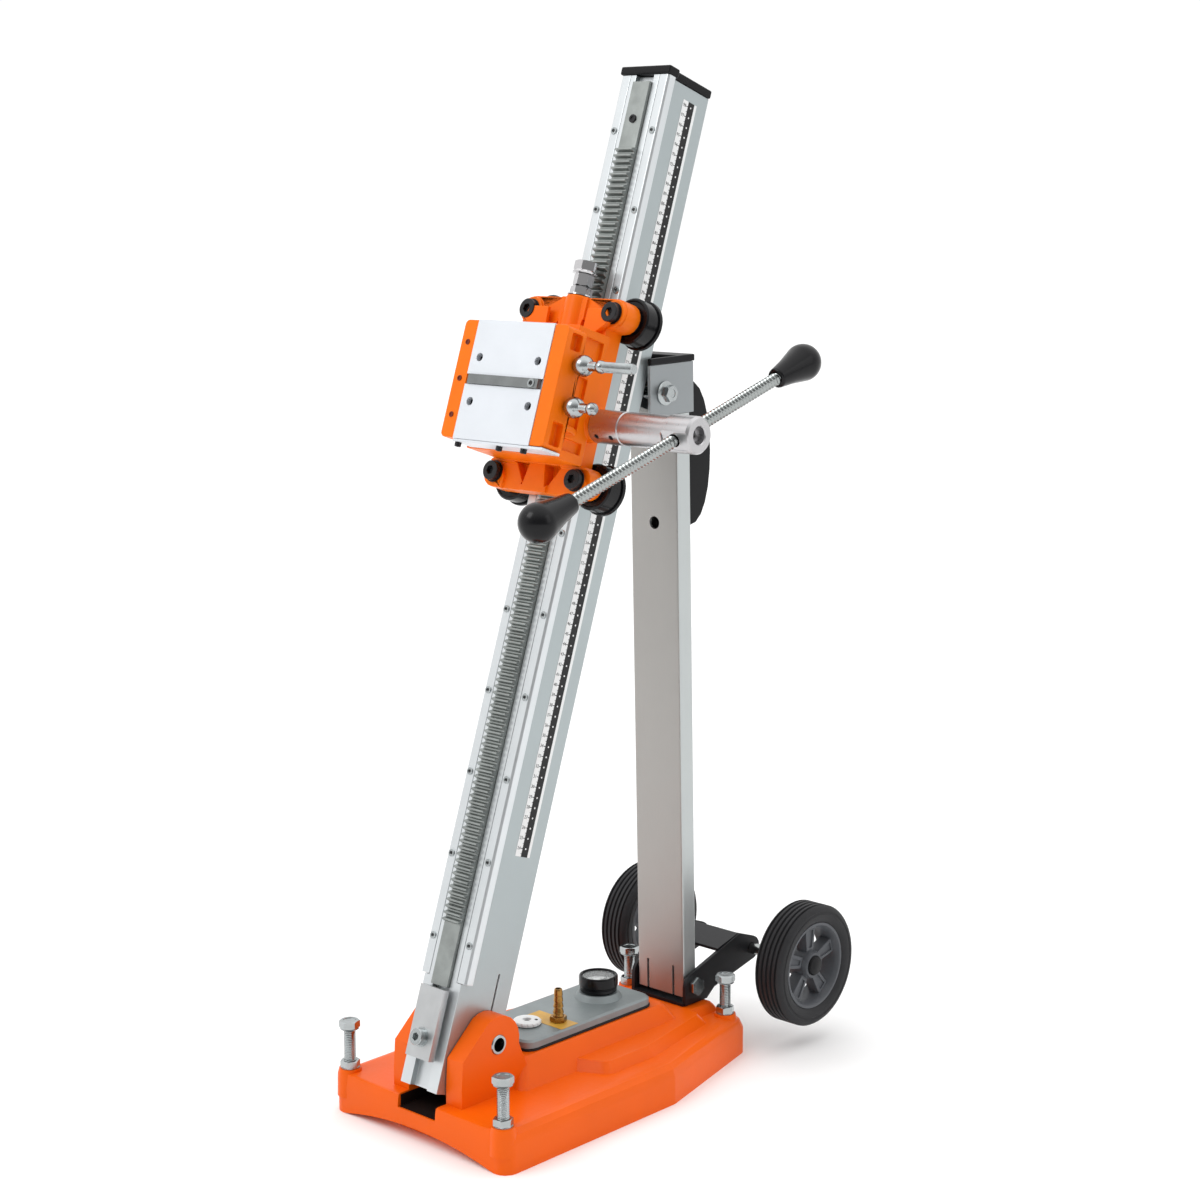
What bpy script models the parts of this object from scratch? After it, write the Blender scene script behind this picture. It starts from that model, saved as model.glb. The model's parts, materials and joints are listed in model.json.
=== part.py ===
"""Core drill rig: a vacuum base, a tilting toothed column with its feed carriage, a rear strut and two wheels.

Sizes are in millimetres and become metres in MM. The origin is on the ground below the column's pivot,
+X is the operator's right, +Y points to the back and +Z up.
"""

import math

import bmesh
import bpy
from mathutils import Matrix, Vector

MM = 0.001
GAP = 0.3                     # room between pieces that touch or turn in each other
FINE, ROUND, SMALL = 36, 24, 16

# Column
TILT_DEG = 18.6               # how far the column leans back at rest
PIVOT_Z = 91.4
PIVOT_DEPTH = 45.4            # pivot behind the column's front face
PIVOT_RISE = 55.2             # pivot above the column's foot
COLUMN_LENGTH = 998.0
COLUMN_WIDTH = 50.0
COLUMN_DEPTH = 70.0
COLUMN_WALL = 5.0
RAIL_SIZE = 12.0
RAIL_PROUD = 6.0              # how far a rail stands out of the column's side
RAIL_OUTER = COLUMN_WIDTH / 2 + RAIL_PROUD
RAIL_START = 105.0
SLOT_WIDTH = 12.0
SLOT_DEPTH = 12.0

# Rack and pinion
MODULE = 2.0
PRESSURE_ANGLE = math.radians(20)
PINION_TEETH = 14
BACKLASH = 0.3
RACK_WIDTH = 22.0
RACK_BACK = 6.0
RACK_PITCH_LINE = -6.0
RACK_ADDENDUM = 1.6
RACK_DEDENDUM = 2.5
TEETH_BELOW, TEETH_ABOVE = 77, 44
PINION_RISE = 644.0
PINION_RADIUS = MODULE * PINION_TEETH / 2
PINION_DEPTH = RACK_PITCH_LINE - PINION_RADIUS
SHAFT_RADIUS = 8.0
BUSH_WALL = 2.0

# Carriage
CARRIAGE_RISE = 670.0
ROLLER_RADIUS = 22.7
ROLLER_X = RAIL_OUTER + ROLLER_RADIUS + GAP
ROLLER_RISE = 81.0
ROLLER_BOLT = 6.0
ARM_RADIUS = 15.0
CARRIAGE_FRONT, ARM_FRONT, CARRIAGE_BACK = -96.0, -28.0, -5.0
JAW_X, PLATE_X = 68.0, 50.0
PLATE_LOW, PLATE_HIGH = -64.0, 51.0
PLATE_THICK = 10.0
CLAMP_DEPTH = -76.0
CLAMP_RISES = (18.0, -21.5)
STOP_BOLT_DEPTH = -18.0

# Feed handle
HUB_START, HUB_END, HUB_RADIUS = 60.0, 184.0, 16.0
ROD_X, ROD_RADIUS = 166.0, 6.0
HANDLE_DEG = 17.8             # rod's rise towards the back, from the level
ROD_FRONT, ROD_REAR = 157.0, 139.0
KNOB_LENGTH, KNOB_RADIUS = 61.0, 18.0

# Strut
STRUT_Y, STRUT_Z = 297.0, 70.0
STRUT_LEAN_DEG = 1.56
HEAD_PLATE, HEAD_CLEAR = 3.4, 3.2   # the head's cheeks, and their room beside the column
STRUT_WIDTH = COLUMN_WIDTH + 2 * (HEAD_PLATE + HEAD_CLEAR)
STRUT_DEPTH, STRUT_WALL = 20.4, 2.6
STRUT_LOW, STRUT_TOP = -12.0, 600.0
HEAD_PIN_Y, HEAD_PIN_Z = -27.4, 622.7
HEAD_FRONT, HEAD_BACK, HEAD_TOP = -49.0, 16.0, 651.0
HEAD_WEB = -5.0               # front of the block between the head's cheeks, clear of the lug
HEAD_PIN_RADIUS = 5.0
PIN_SCREW = 6.0               # radius of the strut's foot pin
LUG_DEPTH, LUG_RISE = 93.4, 704.7

# Base
BASE_HALF, BASE_FRONT, BASE_REAR = 120.0, -64.0, 332.0
BASE_KINK_Y, BASE_REAR_HALF = 172.0, 80.0
SKIRT, DECK, MID_TIER = 27.0, 41.0, 51.0
EAR_INNER, EAR_OUTER = COLUMN_WIDTH / 2 + 0.8, 47.0
EAR_RADIUS = 28.0
PIN_RADIUS, PIN_BORE = 9.5, 6.8
PLATEAU = 67.0
REAR_DECK = 49.7
SCREWS = {"front_left": (-106.0, -53.0, 88.0), "front_right": (106.0, -53.0, 88.0),
          "rear_left": (-67.2, 312.0, 81.5), "rear_right": (67.2, 312.0, 81.5)}
SCREW_RADIUS, BOSS_TOP = 6.0, 43.5
CHAMBER_DEEP, SEAL_WIDTH = 14.0, 9.0
COVER_HALF, COVER_FRONT, COVER_REAR = 40.0, 48.0, 230.0
GASKET, COVER_THICK = 2.0, 8.0
GAUGE_Y, BARB, VENT = 190.0, (20.0, 110.0), (2.0, 84.0)
BARB_ROOT, BARB_BORE = 5.0, 2.6

# Wheels
AXLE_Y, AXLE_Z, AXLE_RADIUS = 392.0, 87.5, 6.0
WHEEL_OUTER, WHEEL_RADIUS, WHEEL_WIDTH = 126.0, 64.5, 35.0
RIM_RADIUS = 46.0
ARM_CLEAR, ARM_THICK = 2.0, 4.0
ARM_X = STRUT_WIDTH / 2 + ARM_CLEAR

TO_AXIS = {"X": Matrix.Rotation(math.pi / 2, 4, "Y"), "Y": Matrix.Rotation(-math.pi / 2, 4, "X"),
           "Z": Matrix.Identity(4)}


def clear_scene():
    for old in list(bpy.data.objects):
        bpy.data.objects.remove(old, do_unlink=True)


def material(name, colour, roughness, metallic=0.0, alpha=1.0):
    made = bpy.data.materials.new(name)
    made.use_nodes = True
    shader = made.node_tree.nodes["Principled BSDF"]
    shader.inputs["Base Color"].default_value = (*colour, 1.0)
    shader.inputs["Roughness"].default_value = roughness
    shader.inputs["Metallic"].default_value = metallic
    shader.inputs["Alpha"].default_value = alpha
    return made


def frame(name, location, parent=None, turn_x_deg=0.0):
    """An empty on a joint's axis, which the moving pieces hang from."""
    empty = bpy.data.objects.new(name, None)
    empty.location = [value * MM for value in location]
    empty.rotation_euler = (math.radians(turn_x_deg), 0, 0)
    empty.parent = parent
    bpy.context.scene.collection.objects.link(empty)
    return empty


# Shapes: each function adds one closed body to a bmesh, in millimetres.

def prism(outline, axis, low, high):
    """The outline, given in the other two axes, drawn out along one axis."""
    shape = bmesh.new()
    order = {"X": lambda a, b, c: (c, a, b), "Y": lambda a, b, c: (a, c, b), "Z": lambda a, b, c: (a, b, c)}[axis]
    start = shape.faces.new([shape.verts.new(order(a, b, low)) for a, b in outline])
    drawn = bmesh.ops.extrude_face_region(shape, geom=[start])
    moved = [item for item in drawn["geom"] if isinstance(item, bmesh.types.BMVert)]
    bmesh.ops.translate(shape, verts=moved, vec=order(0, 0, high - low))
    bmesh.ops.recalc_face_normals(shape, faces=shape.faces)
    return shape


def box(x_low, x_high, y_low, y_high, z_low, z_high):
    return prism([(x_low, y_low), (x_high, y_low), (x_high, y_high), (x_low, y_high)], "Z", z_low, z_high)


def turned(profile, axis, centre=(0, 0, 0), steps=ROUND):
    """A profile of (radius, place along the axis) spun round the axis; it closes on itself or on the axis."""
    shape = bmesh.new()
    points = [shape.verts.new((radius, 0, along)) for radius, along in profile]
    closed = profile[0][0] > 0 and profile[-1][0] > 0
    pairs = list(zip(points, points[1:] + points[:1])) if closed else list(zip(points, points[1:]))
    edges = [shape.edges.new(pair) for pair in pairs]
    bmesh.ops.spin(shape, geom=points + edges, axis=(0, 0, 1), angle=2 * math.pi, steps=steps, use_merge=True)
    bmesh.ops.remove_doubles(shape, verts=shape.verts, dist=0.001)
    bmesh.ops.recalc_face_normals(shape, faces=shape.faces)
    bmesh.ops.transform(shape, matrix=Matrix.Translation(centre) @ TO_AXIS[axis], verts=shape.verts)
    return shape


def rod(radius, axis, low, high, centre=(0, 0, 0), steps=ROUND):
    return turned([(0, low), (radius, low), (radius, high), (0, high)], axis, centre, steps)


def tube(inner, outer, axis, low, high, centre=(0, 0, 0), steps=ROUND):
    return turned([(inner, low), (outer, low), (outer, high), (inner, high)], axis, centre, steps)


def hexagon(across_flats, axis, low, high, centre=(0, 0, 0)):
    return rod(across_flats / math.sqrt(3), axis, low, high, centre, steps=6)


def loft(rings):
    """A body through outlines with equal numbers of points, each given with its height."""
    shape = bmesh.new()
    loops = [[shape.verts.new((x, y, height)) for x, y in outline] for outline, height in rings]
    for lower, upper in zip(loops, loops[1:]):
        for i in range(len(lower)):
            j = (i + 1) % len(lower)
            shape.faces.new((lower[i], lower[j], upper[j], upper[i]))
    shape.faces.new(loops[0][::-1])
    shape.faces.new(loops[-1])
    bmesh.ops.recalc_face_normals(shape, faces=shape.faces)
    return shape


def rounded(corners, radius, steps=4):
    """The outline with each corner turned into an arc."""
    points = []
    for i, corner in enumerate(corners):
        here = Vector(corner)
        before = (Vector(corners[i - 1]) - here).normalized()
        after = (Vector(corners[(i + 1) % len(corners)]) - here).normalized()
        half = before.angle(after) / 2
        centre = here + (before + after).normalized() * radius / math.sin(half)
        first = here + before * radius / math.tan(half) - centre
        last = here + after * radius / math.tan(half) - centre
        for k in range(steps + 1):
            points.append(tuple(centre + first.slerp(last, k / steps) * radius))
    return points


def rectangle(x_low, x_high, y_low, y_high, radius):
    return rounded([(x_low, y_low), (x_high, y_low), (x_high, y_high), (x_low, y_high)], radius)


def arc(centre, radius, start_deg, end_deg, steps):
    angles = [math.radians(start_deg + (end_deg - start_deg) * k / steps) for k in range(steps + 1)]
    return [(centre[0] + radius * math.cos(a), centre[1] + radius * math.sin(a)) for a in angles]


def mirrored(outline):
    return [(-x, y) for x, y in reversed(outline)]


def put(name, shape, parent):
    """Gives a shape an object of its own, in the parent's frame."""
    bmesh.ops.scale(shape, vec=(MM, MM, MM), verts=shape.verts)
    mesh = bpy.data.meshes.new(name)
    shape.to_mesh(mesh)
    shape.free()
    made = bpy.data.objects.new(name, mesh)
    made.parent = parent
    bpy.context.scene.collection.objects.link(made)
    return made


def node(name, shape, look, parent=None, add=(), cut=(), sharp_deg=35):
    """One piece of the rig: a shape, the shapes added to it and the shapes cut from it."""
    made = put(name, shape, parent)
    made.data.materials.append(look)
    made.data.shade_smooth()
    made.data.set_sharp_from_angle(angle=math.radians(sharp_deg))
    for operation, helpers in (("UNION", add), ("DIFFERENCE", cut)):
        for number, helper_shape in enumerate(helpers):
            helper = put("%s_%s_%d" % (name, operation.lower(), number), helper_shape, parent)
            helper.hide_render = True
            helper.display_type = "WIRE"
            step = made.modifiers.new("%s %d" % (operation.title(), number), "BOOLEAN")
            step.operation = operation
            step.solver = "EXACT"
            step.object = helper
    return made


# Looks

def looks():
    return {
        "orange": material("orange_paint", (0.92, 0.16, 0.01), 0.32),
        "silver": material("anodised_aluminium", (0.78, 0.8, 0.81), 0.34, 0.85),
        "steel": material("bright_steel", (0.66, 0.68, 0.68), 0.28, 1.0),
        "rack": material("rack_steel", (0.42, 0.45, 0.44), 0.42, 1.0),
        "zinc": material("zinc_plate", (0.72, 0.74, 0.72), 0.3, 1.0),
        "brass": material("brass", (0.62, 0.42, 0.16), 0.34, 1.0),
        "bronze": material("bronze", (0.55, 0.36, 0.18), 0.45, 1.0),
        "grey_cast": material("grey_casting", (0.33, 0.36, 0.37), 0.5, 0.3),
        "black_plastic": material("black_plastic", (0.02, 0.02, 0.022), 0.4),
        "black_steel": material("black_steel", (0.03, 0.03, 0.033), 0.35, 0.4),
        "rubber": material("rubber", (0.03, 0.03, 0.03), 0.8),
        "tyre": material("tyre_rubber", (0.045, 0.045, 0.047), 0.7),
        "rim": material("grey_rim", (0.13, 0.135, 0.145), 0.5),
        "dial": material("white_dial", (0.85, 0.86, 0.85), 0.5),
        "glass": material("gauge_glass", (0.9, 0.95, 0.95), 0.05, 0.0, 0.3),
    }


# Base

def base_outline(inset, front_inset, radius=14.0):
    front, rear = BASE_FRONT + front_inset, BASE_REAR - inset
    wide, narrow = BASE_HALF - inset, BASE_REAR_HALF - inset
    corners = [(-wide, front), (wide, front), (wide, BASE_KINK_Y), (narrow, rear), (-narrow, rear),
               (-wide, BASE_KINK_Y)]
    return rounded(corners, max(radius - inset * 0.4, 4.0))


def chamber_outline(inset):
    """The vacuum chamber under the base, which the rubber seal lines."""
    wide, narrow, front, rear = 100 - inset, 72 - inset, 38 + inset, 292 - inset
    corners = [(-wide, front), (wide, front), (wide, 168), (narrow, rear), (-narrow, rear), (-wide, 168)]
    return rounded(corners, 10)


def hill(x_low, x_high, y_low, y_high, z_low, z_high, slope, radius=8.0):
    """A raised deck with sloping sides."""
    return loft([(rectangle(x_low - slope, x_high + slope, y_low - slope, y_high + slope, radius), z_low),
                 (rectangle(x_low, x_high, y_low, y_high, radius), z_high - 3),
                 (rectangle(x_low + 3, x_high - 3, y_low + 3, y_high - 3, radius - 2), z_high)])


def ear_outline():
    crown = arc((0, PIVOT_Z), EAR_RADIUS, 118, -12, 8)
    return [(-49, 20), (-49, 58), (-47, 86)] + crown + [(37, 62), (40, 20)]


def mid_tier():
    """The broad step round the cover, narrowing with the base towards the back."""
    low = [(-96, 104), (-56, 84), (56, 84), (96, 104), (96, 176), (73, 290), (-73, 290), (-96, 176)]
    high = [(-86, 111), (-50, 96), (50, 96), (86, 111), (86, 172), (64, 280), (-64, 280), (-86, 172)]
    top = [(x * 0.97, 170 + (y - 170) * 0.975) for x, y in high]
    return loft([(rounded(low, 12), DECK - 8), (rounded(high, 12), MID_TIER - 3), (rounded(top, 10), MID_TIER)])


def base_pieces(look):
    arch_radius = 440.0
    arch_top = 12.5
    arch = [(-108, -5)] + arc((0, arch_top - arch_radius), arch_radius, 103.6, 76.4, 10) + [(108, -5)]
    adds = [mid_tier(),
            hill(-46, 46, 34, 246, DECK - 12, PLATEAU, 22, 10),
            hill(-50, 50, 250, 318, DECK - 12, REAR_DECK, 10, 6)]
    for side in (-1, 1):
        low, high = sorted((side * EAR_INNER, side * EAR_OUTER))
        adds.append(prism(ear_outline(), "X", low, high))
    adds += [turned([(0, 16), (13, 16), (12.5, 38), (11, BOSS_TOP), (0, BOSS_TOP)], "Z", (x, y, 0))
             for x, y, _ in SCREWS.values()]
    cuts = [box(-EAR_INNER, EAR_INNER, -80, 33, 28, 150),
            rod(PIN_RADIUS + GAP, "X", -60, 60, (0, 0, PIVOT_Z)),
            loft([(chamber_outline(0), -5), (chamber_outline(0), CHAMBER_DEEP)]),
            prism(arch, "Y", BASE_FRONT - 10, -46),
            box(-34, 34, 62, 236, 10, 58),
            rod(4, "Z", 50, 80, (BARB[0], BARB[1], 0), SMALL),
            rod(4, "Z", 50, 80, (0, GAUGE_Y, 0), SMALL)]
    cuts += [rod(SCREW_RADIUS + GAP, "Z", -5, 60, (x, y, 0), ROUND) for x, y, _ in SCREWS.values()]
    body = loft([(base_outline(0, 0), 0), (base_outline(0, 0), SKIRT), (base_outline(3, 0.6), DECK - 5.5),
                 (base_outline(8, 1.6), DECK - 1), (base_outline(14, 4), DECK)])
    node("base_casting", body, look["orange"], None, adds, cuts)

    node("vacuum_seal", loft([(chamber_outline(GAP), GAP), (chamber_outline(GAP), CHAMBER_DEEP - GAP)]),
         look["rubber"], None, (), [loft([(chamber_outline(SEAL_WIDTH), z) for z in (-5, 20)])])
    node("pivot_pin", turned([(PIN_BORE, -48), (PIN_RADIUS, -48), (PIN_RADIUS, 48), (PIN_BORE, 48)], "X",
                             (0, 0, PIVOT_Z)), look["zinc"])


def cover_outline(inset):
    half, front, rear = COVER_HALF - inset, COVER_FRONT + inset, COVER_REAR - inset
    return rounded([(-half, front), (half, front), (half, rear), (-half, rear)], 12 - inset * 0.5)


def vacuum_pieces(look):
    gasket_low = PLATEAU + GAP
    cover_low = gasket_low + GASKET + GAP
    cover_top = cover_low + COVER_THICK
    port = [rod(4, "Z", 60, 120, (BARB[0], BARB[1], 0), SMALL), rod(4, "Z", 60, 120, (0, GAUGE_Y, 0), SMALL)]
    node("deck_gasket", loft([(cover_outline(-1), gasket_low), (cover_outline(-1), gasket_low + GASKET)]),
         look["rubber"], None, (), port)
    pedestal_top = cover_top + 6
    node("vacuum_cover", loft([(cover_outline(0), cover_low), (cover_outline(0), cover_top - 2),
                               (cover_outline(2), cover_top)]), look["grey_cast"], None,
         [turned([(0, cover_low + 2), (25, cover_low + 2), (24.5, cover_top), (20.5, pedestal_top), (0, pedestal_top)],
                 "Z", (0, GAUGE_Y, 0))],
         [rod(BARB_ROOT + GAP, "Z", cover_low - 1, cover_top + 1, (*BARB, 0), SMALL),
          rod(5 + GAP, "Z", cover_low + 3, cover_top + 1, (*VENT, 0), SMALL),
          rod(4, "Z", cover_low - 1, pedestal_top + 1, (0, GAUGE_Y, 0), SMALL)])

    case_low = pedestal_top + GAP
    case_top = case_low + 15
    node("gauge_case", turned([(0, case_low), (19, case_low), (19, case_top), (16.8, case_top),
                               (16.8, case_low + 8), (0, case_low + 8)], "Z", (0, GAUGE_Y, 0), FINE),
         look["black_plastic"])
    dial_low = case_low + 8 + GAP
    node("gauge_dial", rod(16.4, "Z", dial_low, dial_low + 0.8, (0, GAUGE_Y, 0), FINE), look["dial"])
    needle_low = dial_low + 0.8 + GAP
    needle = frame("needle_frame", (0, GAUGE_Y, needle_low))
    node("gauge_needle", prism([(-0.8, -5), (0.8, -5), (1.4, 0), (0.25, 13), (-0.25, 13), (-1.4, 0)], "Z", 0, 0.8),
         look["black_plastic"], needle)
    node("gauge_lens", rod(16.4, "Z", needle_low + 2.4, needle_low + 4.2, (0, GAUGE_Y, 0), FINE), look["glass"])

    barb = [(BARB_BORE, cover_low + 0.5), (BARB_ROOT, cover_low + 0.5), (BARB_ROOT, cover_top + GAP),
            (8, cover_top + GAP), (8, cover_top + 6), (5, cover_top + 8)]
    for k in range(4):
        barb += [(5.6 - 0.35 * k, cover_top + 11 + 6 * k), (4.2, cover_top + 14 + 6 * k)]
    barb += [(3.8, cover_top + 34), (BARB_BORE, cover_top + 34)]
    node("hose_barb", turned(barb, "Z", (*BARB, 0), SMALL), look["brass"])
    vent = frame("vent_frame", (VENT[0], VENT[1], cover_top))
    node("vent_knob", turned([(0, -4.5), (5, -4.5), (5, GAP), (14, GAP), (14.5, 2.5), (12, 4.5), (4, 5), (3, 3.2),
                              (0, 3.2)], "Z", (0, 0, 0), FINE), look["zinc"], vent)


def levelling_screws(look):
    for name, (x, y, head_middle) in SCREWS.items():
        parent = frame("screw_frame_" + name, (x, y, 0))
        node("levelling_screw_" + name,
             turned([(0, 3), (3.5, 3), (SCREW_RADIUS, 6), (SCREW_RADIUS, head_middle), (0, head_middle)], "Z",
                    steps=SMALL), look["zinc"], parent,
             [hexagon(18, "Z", head_middle - 4, head_middle + 4)])


# Wheels and strut support

def wheel_pieces(look):
    arm = [(283, 52), (283, 70)] + arc((STRUT_Y, STRUT_Z), 14, 180, 100, 4) + [(372, 108.5)] \
        + arc((AXLE_Y, AXLE_Z), 13, 70, -70, 6) + [(330, 60), (318, 50.6), (283, 50.6)]
    web = [(338, 96.2), (372, 105.4), (371, 108.8), (337, 99.6)]
    node("wheel_bracket", prism(arm, "X", ARM_X, ARM_X + ARM_THICK), look["black_steel"], None,
         [prism(arm, "X", -ARM_X - ARM_THICK, -ARM_X),
          box(-ARM_X - 2, ARM_X + 2, 281, 317, 50.2, 53.6),
          prism(web, "X", -ARM_X - 2, ARM_X + 2)],
         [rod(PIN_SCREW + GAP, "X", -50, 50, (0, STRUT_Y, STRUT_Z), SMALL),
          rod(AXLE_RADIUS + GAP, "X", -50, 50, (0, AXLE_Y, AXLE_Z), SMALL)])
    outside = ARM_X + ARM_THICK + GAP
    node("strut_pin", rod(PIN_SCREW, "X", -outside - 7, outside + 1, (0, STRUT_Y, STRUT_Z), SMALL), look["zinc"], None,
         [hexagon(17, "X", outside, outside + 6, (0, STRUT_Y, STRUT_Z))])
    node("wheel_axle", rod(AXLE_RADIUS, "X", -WHEEL_OUTER + 1, WHEEL_OUTER - 1, (0, AXLE_Y, AXLE_Z), SMALL),
         look["steel"])

    middle = WHEEL_OUTER - WHEEL_WIDTH / 2
    half = WHEEL_WIDTH / 2
    tyre = [(RIM_RADIUS, -half + 3), (RIM_RADIUS + 6, -half), (WHEEL_RADIUS - 6, -half),
            (WHEEL_RADIUS - 1.5, -half + 3), (WHEEL_RADIUS, -half + 7), (WHEEL_RADIUS, half - 7),
            (WHEEL_RADIUS - 1.5, half - 3), (WHEEL_RADIUS - 6, half), (RIM_RADIUS + 6, half), (RIM_RADIUS, half - 3)]
    for side, word in ((-1, "left"), (1, "right")):
        parent = frame("wheel_frame_" + word, (side * middle, AXLE_Y, AXLE_Z))
        node("tyre_" + word, turned(tyre, "X", steps=FINE), look["tyre"], parent)
        spokes = []
        for k in range(5):
            spoke = box(-6, 6, -6.5, 6.5, 10, RIM_RADIUS - 4)
            bmesh.ops.rotate(spoke, verts=spoke.verts, matrix=Matrix.Rotation(2 * math.pi * k / 5, 3, "X"))
            spokes.append(spoke)
        hub = tube(AXLE_RADIUS + GAP, 15, "X", -half + 2, half - 2)
        ring = tube(RIM_RADIUS - 6, RIM_RADIUS - GAP, "X", -half + 4, half - 4, steps=FINE)
        node("rim_" + word, ring, look["rim"], parent, spokes + [hub])


# Column

def column_pieces(look, column):
    half, d_back = COLUMN_WIDTH / 2, COLUMN_DEPTH
    low, high = -PIVOT_RISE, COLUMN_LENGTH - PIVOT_RISE

    def depth(value):
        return value - PIVOT_DEPTH

    def rise(value):
        return value - PIVOT_RISE

    slot = SLOT_WIDTH / 2
    groove = RACK_WIDTH / 2 + GAP
    groove_floor = depth(RACK_BACK + GAP)
    section = [(-half, depth(0)), (-groove, depth(0)), (-groove, groove_floor), (groove, groove_floor),
               (groove, depth(0)), (half, depth(0)), (half, depth(d_back)), (slot, depth(d_back)),
               (slot, depth(d_back - SLOT_DEPTH)), (-slot, depth(d_back - SLOT_DEPTH)), (-slot, depth(d_back)),
               (-half, depth(d_back))]
    rail_inner = RAIL_OUTER - RAIL_SIZE
    cuts = [box(-half + COLUMN_WALL, half - COLUMN_WALL, depth(18), depth(d_back - SLOT_DEPTH - COLUMN_WALL),
                low - 1, high + 1),
            rod(PIN_RADIUS + GAP + BUSH_WALL + GAP, "X", -30, 30)]
    for side in (-1, 1):
        edges = sorted((side * (rail_inner - GAP), side * (half + 1)))
        cuts.append(box(*edges, depth(-1), depth(RAIL_SIZE + GAP), rise(RAIL_START), high + 1))
        edges = sorted((side * (half - COLUMN_WALL - 1), side * (half + 1)))
        cuts.append(box(*edges, depth(48.4), depth(50.4), low - 1, rise(118)))
    node("column_extrusion", prism(section, "Z", low, high), look["silver"], column, (), cuts)

    bush = tube(PIN_RADIUS + GAP, PIN_RADIUS + GAP + BUSH_WALL, "X", 15, half + 0.4)
    node("pivot_bush_right", bush, look["bronze"], column)
    bush = tube(PIN_RADIUS + GAP, PIN_RADIUS + GAP + BUSH_WALL, "X", -half - 0.4, -15)
    node("pivot_bush_left", bush, look["bronze"], column)

    rail = [(rail_inner, 0), (RAIL_OUTER - 2, 0), (RAIL_OUTER, 2), (RAIL_OUTER, 10), (RAIL_OUTER - 2, RAIL_SIZE),
            (rail_inner, RAIL_SIZE)]
    rail = [(x, depth(d)) for x, d in rail]
    node("guide_rail_right", prism(rail, "Z", rise(RAIL_START + GAP), high), look["silver"], column)
    node("guide_rail_left", prism(mirrored(rail), "Z", rise(RAIL_START + GAP), high), look["silver"], column)

    cap = [(-RAIL_OUTER - 1, -2), (RAIL_OUTER + 1, -2), (RAIL_OUTER + 1, RAIL_SIZE + 1), (half + 1.5, RAIL_SIZE + 4),
           (half + 1.5, d_back + 1), (-half - 1.5, d_back + 1), (-half - 1.5, RAIL_SIZE + 4),
           (-RAIL_OUTER - 1, RAIL_SIZE + 1)]
    cap = [(x, depth(d)) for x, d in cap]
    node("column_cap", prism(cap, "Z", high + GAP, high + 8.5), look["black_plastic"], column)
    node("toothed_rack", prism([(depth(d), rise(v)) for d, v in rack_outline()], "X", -RACK_WIDTH / 2,
                               RACK_WIDTH / 2), look["rack"], column)
    node("stop_plate", box(-16, 16, depth(-11), depth(-RACK_DEDENDUM - 1.3), rise(28), rise(96)), look["steel"], column,
         (), [rod(5 + GAP, "Y", depth(-12), depth(0), (0, 0, rise(46)), SMALL)])


def rack_outline():
    """The rack seen from the side, as (depth, rise): plain ends and evenly spaced straight-flanked teeth."""
    pitch = math.pi * MODULE
    root, tip = RACK_PITCH_LINE + RACK_DEDENDUM, RACK_PITCH_LINE - RACK_ADDENDUM
    half_pitch_line = pitch / 4 - BACKLASH / 2
    half_tip = half_pitch_line - RACK_ADDENDUM * math.tan(PRESSURE_ANGLE)
    half_root = half_pitch_line + RACK_DEDENDUM * math.tan(PRESSURE_ANGLE)
    outline = [(RACK_BACK, 98.0), (root, 98.0)]
    for tooth in range(-TEETH_BELOW, TEETH_ABOVE + 1):
        middle = PINION_RISE + tooth * pitch
        outline += [(root, middle - half_root), (tip, middle - half_tip), (tip, middle + half_tip),
                    (root, middle + half_root)]
    return outline + [(root, COLUMN_LENGTH - 8), (RACK_BACK, COLUMN_LENGTH - 8)]


def lug_pieces(look, lug):
    """The block that slides in the slot at the column's back; its open fork takes the strut's head pin."""
    back = COLUMN_DEPTH - LUG_DEPTH
    node("slide_lug", box(-22, 22, back + GAP, 2, -20, 16), look["steel"], lug,
         [box(-SLOT_WIDTH / 2 + GAP, SLOT_WIDTH / 2 - GAP, back - SLOT_DEPTH + GAP, back + 2, -26, 26)],
         [box(-30, 30, -19.2, 10, -9.6, HEAD_PIN_RADIUS + 0.6)])


# Carriage

def capsule(x_half, middle, radius):
    return arc((x_half, middle), radius, -90, 90, 8) + arc((-x_half, middle), radius, 90, 270, 8)


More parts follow.
